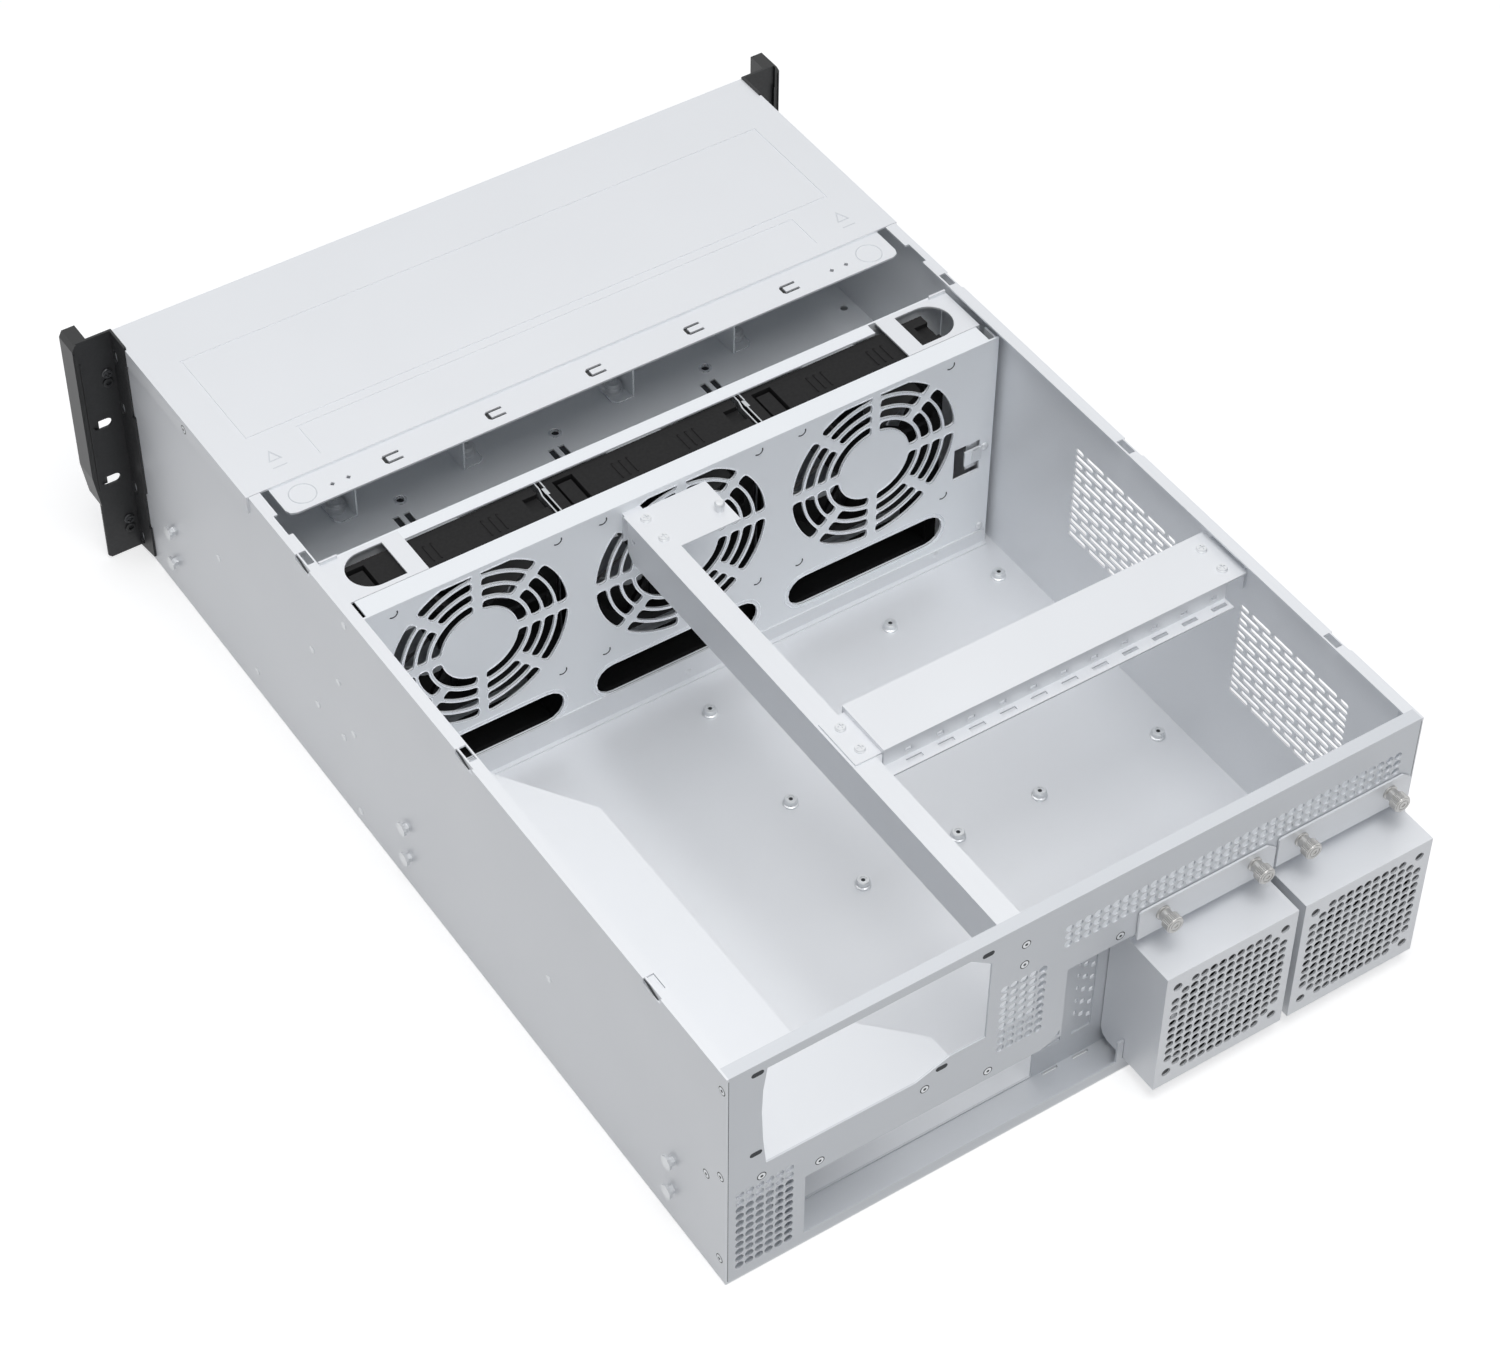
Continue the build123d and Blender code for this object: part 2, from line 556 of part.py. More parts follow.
def beam_bracket_front():
    """Angle on the fan wall that carries the front of the centre beam."""
    x_span = (BEAM_SIDES[0] + SHEET + 0.2, BEAM_SIDES[1] - SHEET - 0.2)
    bracket = slab(x_span, (CAGE_REAR, CAGE_REAR + SHEET), (BEAM_BOTTOM + 7.0, BEAM_TOP - SHEET))
    return bracket + slab(x_span, (CAGE_REAR, 318.0), (BEAM_TOP - 2 * SHEET, BEAM_TOP - SHEET))


def beam_bracket_rear():
    """Angle on the rear panel that carries the rear of the centre beam."""
    x_span = (BEAM_SIDES[0] + SHEET + 0.2, BEAM_SIDES[1] - SHEET - 0.2)
    bracket = slab(x_span, (REAR_IN - SHEET, REAR_IN), (BEAM_BOTTOM + 2.0, BEAM_TOP - SHEET))
    return bracket + slab(x_span, (REAR_IN - 18.0, REAR_IN), (BEAM_TOP - 2 * SHEET, BEAM_TOP - SHEET))


def card_beam():
    """Removable cross beam over the expansion cards, with a slotted rear flange."""
    (right, left), (front, rear) = CARD_BEAM_X, CARD_BEAM_Y
    under, foot = CARD_BEAM_TOP - SHEET, CARD_BEAM_FOOT
    beam = slab((right, left), (front, rear), (under, CARD_BEAM_TOP))
    centres = [CARD_HOLE_FIRST - index * CARD_HOLE_PITCH for index in range(CARD_HOLES)]
    web_rim = outline([(right + 14, foot), (left, foot), (left, under), (right + 14, under)])
    beam += across_sheet(web_rim, [window((x - 2.2, x + 2.2), (foot + 4.0, foot + 7.0)) for x in centres],
                         (rear - SHEET, rear))
    beam += across_sheet(web_rim, [], (front, front + SHEET))
    flange_rim = window((right + 14, left), (rear - SHEET, rear + 8.0))
    slots = [window((x - 6.5, x + 3.5), (rear + 2.4, rear + 5.0)) for x in centres]
    beam += level_sheet(flange_rim, slots, (foot, foot + SHEET))
    beam += slab((left - SHEET, left), (front, rear), (BEAM_TOP, under + 0.1))
    return beam + slab((left - SHEET, 45.4), (front + 2, rear - 2), (BEAM_TOP, BEAM_TOP + SHEET))


def card_beam_rest():
    """Angle on the -X wall that carries the far end of the cross beam."""
    front, rear = CARD_BEAM_Y[0] + 5, CARD_BEAM_Y[1] - 5
    under = CARD_BEAM_TOP - SHEET
    rest = slab((-WALL_IN, -WALL_IN + SHEET), (front, rear), (CARD_BEAM_FOOT - 5.0, under))
    return rest + slab((-WALL_IN, -WALL_IN + 17.65), (front, rear), (under - SHEET, under))


def psu_shelf():
    """Shelf for the power supplies, folded down along the side wall, the rear and its open edge."""
    shelf = level_sheet(outline(SHELF_OUTLINE), [], (SHELF_TOP - SHEET, SHELF_TOP))
    fold = (SHELF_FOLD, SHELF_TOP - SHEET + 0.1)
    shelf += slab((SHELF_SIDE - SHEET, SHELF_SIDE), (SHELF_FRONT, REAR_IN), fold)
    shelf += slab((SHELF_TAIL, SHELF_SIDE), (REAR_IN - SHEET, REAR_IN), fold)
    return shelf + slab((SHELF_EDGE + 0.1, SHELF_EDGE + 0.1 + SHEET), (SHELF_FRONT + 110.0, REAR_IN - 60.0),
                        (SHELF_TOP - 13.0, SHELF_TOP - SHEET + 0.1))


def vent_field(first_x, first_z, columns, rows):
    """Square grid of vent holes, from its upper corner on the +X side."""
    return [vent_hole(first_x - column * VENT_PITCH, first_z - row * VENT_PITCH, VENT_HALF)
            for column in range(columns) for row in range(rows)]


def rear_opening():
    """Opening of the connector recess and of the fan boxes, one stepped outline with a round corner."""
    step_x, step_z = OPENING_STEP
    turn = 15.0
    corner = (step_x + turn, step_z + turn)
    arc_middle = (corner[0] - turn * math.sqrt(0.5), corner[1] - turn * math.sqrt(0.5), 0)
    path = [(OPENING_LEFT, OPENING_SILL), (OPENING_LEFT, step_z), (corner[0], step_z)]
    rest = [(step_x, corner[1]), (step_x, OPENING_TOP), (OPENING_RIGHT, OPENING_TOP), (OPENING_RIGHT, 9.4),
            (-35.5, 9.4), (-35.5, 25.0), (-31.5, 25.0), (-31.5, OPENING_SILL), path[0]]
    edges = [Edge.make_line((*a, 0), (*b, 0)) for a, b in zip(path, path[1:])]
    edges.append(Edge.make_three_point_arc((*path[-1], 0), arc_middle, (*rest[0], 0)))
    edges += [Edge.make_line((*a, 0), (*b, 0)) for a, b in zip(rest, rest[1:])]
    return Wire(edges)


def rear_panel():
    """Rear wall with its vents, supply cut-out and stepped opening, folded round its top and sides."""
    side, top, low = SUPPLY_SIDE, SUPPLY_TOP, SHELF_TOP
    supply = outline([(side - 2.9, top), (side - 0.6, top - 16.0), (side, top - 33.3),
                      (side - 1.0, low + 25.0), (side - 3.1, low + 4.3), (side - 94.1, low + 3.6),
                      (side - 115.1, low + 11.3),
                      (side - 137.6, low + 11.4), (side - 137.8, top - 10.8), (side - 124.3, top - 0.2)])
    holes = [rear_opening(), supply]
    holes += vent_field(*TOP_VENT) + vent_field(*MID_VENT) + vent_field(*LOW_VENT)
    for centre in BOX_CENTRES:
        for side in (-1, 1):
            holes.append(many_sided(centre + side * THUMBSCREW_HALF, THUMBSCREW_HEIGHT, 3.0))
    rim = window((-WALL_IN, WALL_IN), (SHEET, CASE_HEIGHT))
    panel = across_sheet(rim, holes, (REAR_IN, CASE_DEPTH))
    panel += slab((-WALL_IN, WALL_IN), (BOX_WEB - SHEET, REAR_IN + 0.1), (TOP_UNDER, CASE_HEIGHT))
    for side in (-1, 1):
        panel += slab((side * (WALL_IN - SHEET), side * WALL_IN), (REAR_IN - 15.0, REAR_IN + 0.1),
                      (SHEET, TOP_UNDER))
    return panel


def slot_bracket():
    """Recessed inner wall behind the rear opening: connector cut-out, card slots and fan openings."""
    inner = (RECESS_OUT - SHEET, RECESS_OUT)
    left, right, top = OPENING_LEFT + SHEET, OPENING_RIGHT, OPENING_TOP + 2.4
    io_right = IO_LEFT - IO_WIDTH
    step_z = OPENING_STEP[1] + 2.4
    step_x = OPENING_STEP[0]
    holes = [window((io_right, IO_LEFT), (IO_SILL, IO_SILL + IO_HEIGHT))]
    holes += [window((x - 6.5, x + 6.5), (22.0, COVER_TOP - 4.0)) for x in CARD_COVERS]
    fan_z = (BOX_FAN_HEIGHT - SMALL_FAN_HALF + 4, BOX_FAN_HEIGHT + SMALL_FAN_HALF - 4)
    holes += [window((x - SMALL_FAN_HALF + 4, x + SMALL_FAN_HALF - 4), fan_z) for x in BOX_CENTRES]
    rim = outline([(left, SHEET), (left, step_z), (step_x, step_z), (step_x, top), (right, top),
                   (right, SHEET)])
    bracket = across_sheet(rim, holes, inner)
    depth = (RECESS_OUT - SHEET, REAR_IN)
    bracket += slab((left, left - SHEET), depth, (SHEET, step_z))
    bracket += slab((left, step_x), depth, (step_z - SHEET, step_z))
    bracket += slab((step_x, step_x - SHEET), depth, (step_z - SHEET, top))
    bracket += slab((step_x, right), depth, (top - SHEET, top))
    return bracket + level_sheet(window((right, left), depth), ledge_slits(), (SHEET, SHEET * 2))


def slot_cover(x):
    """Blank for one card slot, with three columns of small holes in steps and a folded top."""
    holes = [vent_hole(x + 3.6 - column * 7.2, COVER_TOP - 14.0 - row * 9.6 - column * 6.0, 1.8)
             for row in range(7) for column in range(2)]
    y_span = (RECESS_OUT - 2 * SHEET, RECESS_OUT - SHEET)
    cover = across_sheet(window((x - 9.2, x + 9.2), (SHEET * 2, COVER_TOP)), holes, y_span)
    return cover + slab((x - 9.2, x + 9.2), (RECESS_OUT - 12.0, RECESS_OUT - SHEET),
                        (COVER_TOP - SHEET, COVER_TOP))


def box_face_holes(centre):
    """Grid of vent holes with clipped corners, and the four fan screw holes."""
    middle = BOX_GRID // 2
    steps = range(-middle, middle + 1)
    holes = [vent_hole(centre + column * VENT_PITCH, BOX_FAN_HEIGHT + row * VENT_PITCH, VENT_HALF)
             for column in steps for row in steps if abs(column) + abs(row) < 2 * middle]
    for side in (-1, 1):
        for level in (-1, 1):
            holes.append(many_sided(centre + side * BOX_SCREW_HALF,
                                    BOX_FAN_HEIGHT + level * BOX_SCREW_HALF, 2.3))
    return holes


def rear_fan_box(centre):
    """Folded box that carries one small fan outside the case, with a joggled mounting flange."""
    left, right = centre + BOX_WIDTH / 2, centre - BOX_WIDTH / 2
    inner_y = RECESS_OUT + 0.5
    box = across_sheet(window((right, left), (BOX_BOTTOM, BOX_TOP)), box_face_holes(centre),
                       (BOX_FACE - SHEET, BOX_FACE))
    side_rim = outline([(BOX_FACE - SHEET, BOX_BOTTOM), (BOX_FACE - SHEET, BOX_TOP),
                        (BOX_WEB - SHEET, BOX_TOP), (inner_y, BOX_TOP - 8), (inner_y, BOX_BOTTOM + 6),
                        (inner_y + 2, BOX_BOTTOM + 2), (inner_y + 6, BOX_BOTTOM)])
    box += along_sheet(side_rim, [], (left - SHEET, left))
    box += along_sheet(side_rim, [], (right, right + SHEET))
    box += slab((right, left), (inner_y + 6, BOX_FACE - SHEET), (BOX_BOTTOM, BOX_BOTTOM + SHEET))
    box += slab((right, left), (BOX_WEB - SHEET, BOX_FACE - SHEET), (BOX_TOP - SHEET, BOX_TOP))
    box += slab((right, left), (BOX_WEB - SHEET, BOX_WEB), (BOX_TOP - SHEET, BOX_STEP))
    flange_front = CASE_DEPTH + BODY_GAP
    box += slab((right, left), (BOX_WEB - SHEET, flange_front + SHEET), (BOX_STEP - SHEET, BOX_STEP))
    tip = 5.0
    flange_rim = outline([(right - 1, BOX_STEP - SHEET), (left + 2, BOX_STEP - SHEET),
                          (left + 2, BOX_FLANGE_TOP - 1), (left + 1, BOX_FLANGE_TOP),
                          (right + tip, BOX_FLANGE_TOP), (right - 1, BOX_FLANGE_TOP - tip)])
    holes = [drilled(centre + side * THUMBSCREW_HALF, THUMBSCREW_HEIGHT, THUMBSCREW_SHANK + SPINDLE_FIT)
             for side in (-1, 1)]
    return box + across_sheet(flange_rim, holes, (flange_front, flange_front + SHEET))


def rear_fan_frame(centre):
    """Square frame of a small fan, held against the inside of its box."""
    rear = BOX_FACE - SHEET
    y_span = (rear - SMALL_FAN_DEPTH, rear)
    rim = window((centre - SMALL_FAN_HALF, centre + SMALL_FAN_HALF),
                 (BOX_FAN_HEIGHT - SMALL_FAN_HALF, BOX_FAN_HEIGHT + SMALL_FAN_HALF))
    frame = across_sheet(rim, [many_sided(centre, BOX_FAN_HEIGHT, SMALL_FAN_BORE, 16)], y_span)
    return frame + spindle_frame(centre, BOX_FAN_HEIGHT, SMALL_FAN_BORE, (rear - 2.5, rear),
                                 (y_span[0] + 3.0, rear - 2.4))


def thumbscrew(x):
    """Captive thumbscrew: head, collar and shank."""
    seat = CASE_DEPTH + BODY_GAP + SHEET
    screw = across_sheet(many_sided(x, THUMBSCREW_HEIGHT, 4.4), [], (seat + 0.1, seat + 3.4))
    screw += across_sheet(many_sided(x, THUMBSCREW_HEIGHT, THUMBSCREW_HEAD), [], (seat + 3.4, seat + 11.4))
    return screw + rod_y(x, THUMBSCREW_HEIGHT, THUMBSCREW_SHANK, (REAR_IN - 4.0, seat + 0.2))


def rack_ear():
    """Black angle at the +X front corner, with its rack slots and stepped side flange."""
    bend = WALL_OUT + EAR_THICK
    rim = outline([(WALL_OUT, 0), (EAR_EDGE - 2, 0), (EAR_EDGE, 2), (EAR_EDGE, EAR_HEIGHT),
                   (WALL_OUT, EAR_HEIGHT)])
    slots = [obround(RACK_HALF, z, 12.0, 6.8) for z in RACK_SLOTS]
    ear = across_sheet(rim, slots, (0, EAR_THICK))
    back = EAR_DEPTH - 2.0
    side_rim = outline([(EAR_THICK, 0), (EAR_DEPTH, 4), (EAR_DEPTH, 27), (back, 27), (back, 56),
                        (EAR_DEPTH, 56), (EAR_DEPTH, 117), (back, 117), (back, 156), (EAR_DEPTH, 156),
                        (EAR_DEPTH, EAR_HEIGHT), (EAR_THICK, EAR_HEIGHT)])
    ovals = [outline([(4.8, z - 2.4), (7.2, z - 4.4), (9.6, z - 2.4), (9.6, z + 2.4), (7.2, z + 4.4),
                      (4.8, z + 2.4)]) for z in (9.0, 49.0, 113.0, 153.0)]
    return ear + along_sheet(side_rim, ovals, (WALL_OUT, bend))


def ear_handle():
    """Moulded grip along the outer edge of the +X ear."""
    grip_rim = outline([(EAR_EDGE, 44.0), (HANDLE_EDGE, 68.0), (HANDLE_EDGE, EAR_HEIGHT - 4),
                        (HANDLE_EDGE - 2, EAR_HEIGHT), (EAR_EDGE, EAR_HEIGHT)])
    grip = across_sheet(grip_rim, [], (-14.0, 3.0))
    front_rim = window((EAR_EDGE - 7.1, EAR_EDGE), (58.0, EAR_HEIGHT))
    return grip + across_sheet(front_rim, [], (-14.0, 0))


def rail_pins():
    """Flanged pins on the side walls that carry the rack rails."""
    pins = []
    for side in (-1, 1):
        for y, z in ((51.8, 51.4), (50.3, 25.2), (329.2, 49.8), (329.5, 24.9),
                     (CASE_DEPTH - 50.0, 50.7), (CASE_DEPTH - 50.4, 25.4)):
            shaft = along_sheet(many_sided(y, z, 3.0, 6), [], (side * WALL_OUT, side * (WALL_OUT + 2.6)))
            head = along_sheet(many_sided(y, z, 4.4), [], (side * (WALL_OUT + 2.6), side * (WALL_OUT + 4.2)))
            pins.append(shaft + head)
    return pins


def standoffs():
    """Hexagonal studs with a tapped hole, which carry the main board."""
    front, rear = BOARD_ROWS
    corners = [(BOARD_MIDDLE + side * BOARD_HALF, y) for side in (-1, 1) for y in BOARD_ROWS]
    between = [(-121.7, front), (BOARD_MIDDLE + BOARD_HALF, 395.2), (-58.7, rear), (-116.3, rear)]
    studs = []
    for x, y in corners + between:
        holes = [drilled(0, 0, 1.6)] if (x, y) in corners else []
        studs.append(Pos(x, y, 0) * level_sheet(many_sided(0, 0, 4.6, 6), holes, (SHEET, STUD_TOP)))
    return studs


def write(name, shape):
    """Moves a sub-part to the frame of the library and writes it."""
    solids = shape if isinstance(shape, list) else [shape]
    moved = [Pos(0, -CASE_DEPTH / 2, 0) * solid for solid in solids]
    whole = moved[0] if len(moved) == 1 else Compound(children=moved)
    export_step(whole, os.path.join("parts", name + ".step"))


def chassis_parts():
    """Fixed sheet parts of the case, by name."""
    sides = ((BRACKET_WEBS[0], 1), (BRACKET_WEBS[1], -1), (BRACKET_WEBS[2], 1), (BRACKET_WEBS[3], -1))
    parts = {
        "base_floor": base_floor(), "side_wall_left": side_wall([]),
        "side_wall_right": mirrored_x(side_wall(side_vent_holes())),
        "front_panel": front_panel(), "front_cover": front_cover(),
        "mid_shelf": mid_shelf(), "fan_wall": fan_wall(), "wall_foot": wall_foot(),
        "cage_front": cage_front(),
        "cage_end_left": cage_end(), "cage_end_right": mirrored_x(cage_end()),
        "centre_beam": centre_beam(), "beam_bracket_front": beam_bracket_front(),
        "beam_bracket_rear": beam_bracket_rear(),
        "card_beam": card_beam(), "card_beam_rest": card_beam_rest(),
        "psu_shelf": psu_shelf(), "rear_panel": rear_panel(), "slot_bracket": slot_bracket(),
        "ear_left": rack_ear(), "ear_right": mirrored_x(rack_ear()),
        "handle_left": ear_handle(), "handle_right": mirrored_x(ear_handle()),
    }
    for number, (web, foot_side) in enumerate(sides, 1):
        parts[f"cage_bracket_{number}"] = cage_bracket(web, foot_side)
    for number, x in enumerate(CARD_COVERS, 1):
        parts[f"slot_cover_{number}"] = slot_cover(x)
    for number, centre in enumerate(FAN_CENTRES[:2], 1):
        parts[f"divider_clip_{number}"] = divider_clip(centre + MODULE_RIGHT - 2.5)
    parts["bracket_screws"] = [spring_screw(web, foot_side) for web, foot_side in sides]
    return parts


def fan_parts():
    """Fan modules, rear fan boxes and what turns in them, by name."""
    parts = {}
    for number, centre in enumerate(FAN_CENTRES, 1):
        parts[f"fan_module_{number}"] = fan_module(centre)
        parts[f"fan_rotor_{number}"] = fan_rotor(centre, FAN_AXIS, LARGE_FAN_BORE,
                                                 (MODULE_FRONT + 2.0, MODULE_REAR - 3.2))
    for number, centre in enumerate(BOX_CENTRES, 1):
        rear = BOX_FACE - SHEET
        parts[f"rear_fan_box_{number}"] = rear_fan_box(centre)
        parts[f"rear_fan_frame_{number}"] = rear_fan_frame(centre)
        parts[f"rear_fan_rotor_{number}"] = fan_rotor(centre, BOX_FAN_HEIGHT, SMALL_FAN_BORE,
                                                      (rear - SMALL_FAN_DEPTH + 2.0, rear - 3.2))
    places = [centre + side * THUMBSCREW_HALF for centre in BOX_CENTRES for side in (1, -1)]
    for number, x in enumerate(places, 1):
        parts[f"thumbscrew_{number}"] = thumbscrew(x)
    return parts


def fastener_parts():
    """Groups of like fasteners, by name."""
    return {"rail_pins": rail_pins(), "standoffs": standoffs()}


os.makedirs("parts", exist_ok=True)
for name, shape in {**chassis_parts(), **fan_parts(), **fastener_parts()}.items():
    write(name, shape)
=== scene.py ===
"""Dressed model of an empty rackmount server case, open at the top behind its fixed front cover.

All sizes below are in millimetres in the case's own layout: X across with +X the power supply side, Y from
the front plane to the rear, Z up from the underside. ``to_row`` takes them to the shared frame in metres.
"""
from __future__ import annotations

import json
import logging
import math
from dataclasses import dataclass
from enum import Enum
from typing import ClassVar, Iterable, Sequence

import bmesh
import bpy
from mathutils import Matrix, Vector

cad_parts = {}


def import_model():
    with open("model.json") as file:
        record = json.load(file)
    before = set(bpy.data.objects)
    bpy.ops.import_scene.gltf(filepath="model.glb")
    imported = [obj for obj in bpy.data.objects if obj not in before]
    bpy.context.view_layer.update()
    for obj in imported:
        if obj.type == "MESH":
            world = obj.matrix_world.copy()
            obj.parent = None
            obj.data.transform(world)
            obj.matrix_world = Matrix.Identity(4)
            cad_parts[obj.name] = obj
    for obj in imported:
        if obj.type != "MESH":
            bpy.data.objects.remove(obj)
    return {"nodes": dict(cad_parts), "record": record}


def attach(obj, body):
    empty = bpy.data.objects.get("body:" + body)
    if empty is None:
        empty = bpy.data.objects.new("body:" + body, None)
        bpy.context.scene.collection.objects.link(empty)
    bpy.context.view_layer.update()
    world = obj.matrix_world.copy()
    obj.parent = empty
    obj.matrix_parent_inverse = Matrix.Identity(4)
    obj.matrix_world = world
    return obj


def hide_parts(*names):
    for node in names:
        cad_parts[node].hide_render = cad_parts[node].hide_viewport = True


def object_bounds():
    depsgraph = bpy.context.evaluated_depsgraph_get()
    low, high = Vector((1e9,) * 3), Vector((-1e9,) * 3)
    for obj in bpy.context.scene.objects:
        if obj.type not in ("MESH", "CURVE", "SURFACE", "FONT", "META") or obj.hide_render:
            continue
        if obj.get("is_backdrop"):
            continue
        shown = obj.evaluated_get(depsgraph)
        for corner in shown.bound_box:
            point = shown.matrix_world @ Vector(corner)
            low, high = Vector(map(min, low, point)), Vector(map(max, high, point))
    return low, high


LOG = logging.getLogger("server_case")

HALF_DEPTH = 325.1
SHEET = 1.2
EAR_SHEET = 1.5
WALL_FACE = 218.45
CAGE_REAR = 280.0
PANEL_REAR = 650.2
FAN_CENTRES = (139.7, 6.4, -126.9)
BOX_CENTRES = (-79.5, -171.3)
BOX_FAN_HEIGHT = 56.0
VENT_PITCH = 6.0
VENT_RADIUS = 2.62
VENT_SIDES = 12
WELD = 0.0005
SMOOTH_BELOW = 35

Point2 = tuple[float, float]
Point3 = tuple[float, float, float]
Loop = list[Point2]
Face = tuple[int, ...]
Span = tuple[Point2, Point2, Point2]
Place = tuple[Point3, Point3]
Mesh = bpy.types.Mesh

UP: Point3 = (0.0, 0.0, 1.0)
LEFT: Point3 = (1.0, 0.0, 0.0)
BACK: Point3 = (0.0, 1.0, 0.0)
WHITE = (1.0, 1.0, 1.0, 1.0)


# Frame and small helpers


def to_row() -> Matrix:
    """Matrix from the case layout in millimetres to the shared frame in metres."""
    return Matrix.Scale(0.001, 4) @ Matrix.Translation((0.0, -HALF_DEPTH, 0.0))


def linear(colour: str) -> tuple[float, float, float, float]:
    """Turns an sRGB hex colour to linear values.

    Args:
        colour: Six hex digits, such as ``"D8DCE0"``.

    Returns:
        Linear red, green, blue and an alpha of 1.
    """
    parts = [int(colour[index:index + 2], 16) / 255 for index in (0, 2, 4)]
    return tuple(v / 12.92 if v <= 0.04045 else ((v + 0.055) / 1.055) ** 2.4 for v in parts) + (1.0,)


def add_node(tree: bpy.types.NodeTree, kind: str, links: dict | None = None,
             **settings: object) -> bpy.types.Node:
    """Adds one node with its settings, and links or sets its inputs.

    Args:
        tree: Shader or geometry tree that gets the node.
        kind: Type name of the node.
        links: Nodes, sockets, lists of them, or values, by the name or number of the input.
        settings: Properties to set on the node.

    Returns:
        The new node.
    """
    node = tree.nodes.new(kind)
    for name, value in settings.items():
        setattr(node, name, value)
    for key, values in (links or {}).items():
        for value in values if isinstance(values, list) else [values]:
            if isinstance(value, bpy.types.Node):
                value = value.outputs[0]
            if isinstance(value, bpy.types.NodeSocket):
                tree.links.new(value, node.inputs[key])
            else:
                node.inputs[key].default_value = value
    return node


def linked(name: str, data: bpy.types.ID) -> bpy.types.Object:
    """New object of the scene with its data."""
    made = bpy.data.objects.new(name, data)
    bpy.context.scene.collection.objects.link(made)
    return made


def plain_mesh(carrier: bpy.types.Object) -> Mesh:
    """Plain mesh of an object as its modifiers leave it; the object goes.

    Args:
        carrier: The object with its modifiers.

    Returns:
        The finished mesh.
    """
    graph = bpy.context.evaluated_depsgraph_get()
    made = bpy.data.meshes.new_from_object(carrier.evaluated_get(graph), depsgraph=graph)
    carrier.modifiers.clear()
    bpy.data.objects.remove(carrier)
    return made


class Facing(Enum):
    """Plane in which a flat sheet is stood up."""

    ACROSS = "across"
    ALONG = "along"
    LEVEL = "level"

    def stand(self, start: float) -> Matrix:
        """Matrix that stands a sheet drawn flat, with its base at one depth.

        Args:
            start: Rear face of an ACROSS sheet, which grows forwards; otherwise the low face, which grows
                towards +X or +Z.

        Returns:
            The matrix in the case layout.
        """
        if self is Facing.ACROSS:
            return Matrix.Translation((0, start, 0)) @ Matrix.Rotation(math.pi / 2, 4, "X")
        if self is Facing.ALONG:
            turn = Matrix(((0, 0, 1, 0), (1, 0, 0, 0), (0, 1, 0, 0), (0, 0, 0, 1)))
            return Matrix.Translation((start, 0, 0)) @ turn
        return Matrix.Translation((0, 0, start))


# Loops and meshes


def polar(radius: float, angle: float) -> Point2:
    """Point at a distance from the origin and an angle in radians."""
    return radius * math.cos(angle), radius * math.sin(angle)


def circle(u: float, v: float, radius: float, sides: int = 16) -> Loop:
    """Closed loop round a point."""
    ring = [polar(radius, 2 * math.pi * k / sides) for k in range(sides)]
    return [(u + a, v + b) for a, b in ring]


def rectangle(u_span: Point2, v_span: Point2) -> Loop:
    """Closed loop between two limits on each flat axis."""
    return [(u_span[0], v_span[0]), (u_span[1], v_span[0]), (u_span[1], v_span[1]), (u_span[0], v_span[1])]


def obround(u: float, v: float, length: float, width: float, steps: int = 8) -> Loop:
    """Closed loop with round ends along the first flat axis.

    Args:
        u: Middle along the first axis.
        v: Middle along the second axis.
        length: Length over the ends.
        width: Width, which is also the ends' diameter.
        steps: Edges of each round end.

    Returns:
        The loop.
    """
    reach, radius = (length - width) / 2, width / 2
    loop = []
    for side in (1, -1):
        for k in range(steps + 1):
            a, b = polar(radius, -math.pi / 2 + math.pi * k / steps)
            loop.append((u + side * (reach + a), v + side * b))
    return loop


def mesh_of(points: Sequence[Point3], faces: Sequence[Face]) -> Mesh:
    """Mesh of points and faces."""
    mesh = bpy.data.meshes.new("mesh")
    mesh.from_pydata(points, [], faces)
    return mesh


def bands(rings: Sequence[Sequence[int]]) -> list[Face]:
    """Faces between each two neighbouring rings of point numbers, all the same where a ring is one point."""
    return [tuple(dict.fromkeys((low[k], low[(k + 1) % len(low)], high[(k + 1) % len(low)], high[k])))
            for low, high in zip(rings, rings[1:]) for k in range(len(low))]


def tube(rings: Sequence[Sequence[Point3]]) -> Mesh:
    """Closed mesh through rings of as many points each, with a cap at each end.

    Args:
        rings: The rings, round the axis and up it.

    Returns:
        The mesh.
    """
    size = len(rings[0])
    numbers = [range(size * k, size * (k + 1)) for k in range(len(rings))]
    caps = [tuple(reversed(numbers[0])), tuple(numbers[-1])]
    return mesh_of([point for ring in rings for point in ring], caps + bands(numbers))


def lathe(profile: Sequence[Point2], sides: int) -> Mesh:
    """Turned piece on the origin along +Z.

    Args:
        profile: Points (radius, height) from the axis, outwards, up and back to the axis.
        sides: Number of sides round the axis.

    Returns:
        A closed mesh.
    """
    points: list[Point3] = []
    rings: list[list[int]] = []
    for radius, height in profile:
        corners = 1 if radius == 0 else sides
        rings.append([len(points) + index % corners for index in range(sides)])
        points += [(*polar(radius, 2 * math.pi * index / sides), height) for index in range(corners)]
    return mesh_of(points, bands(rings))


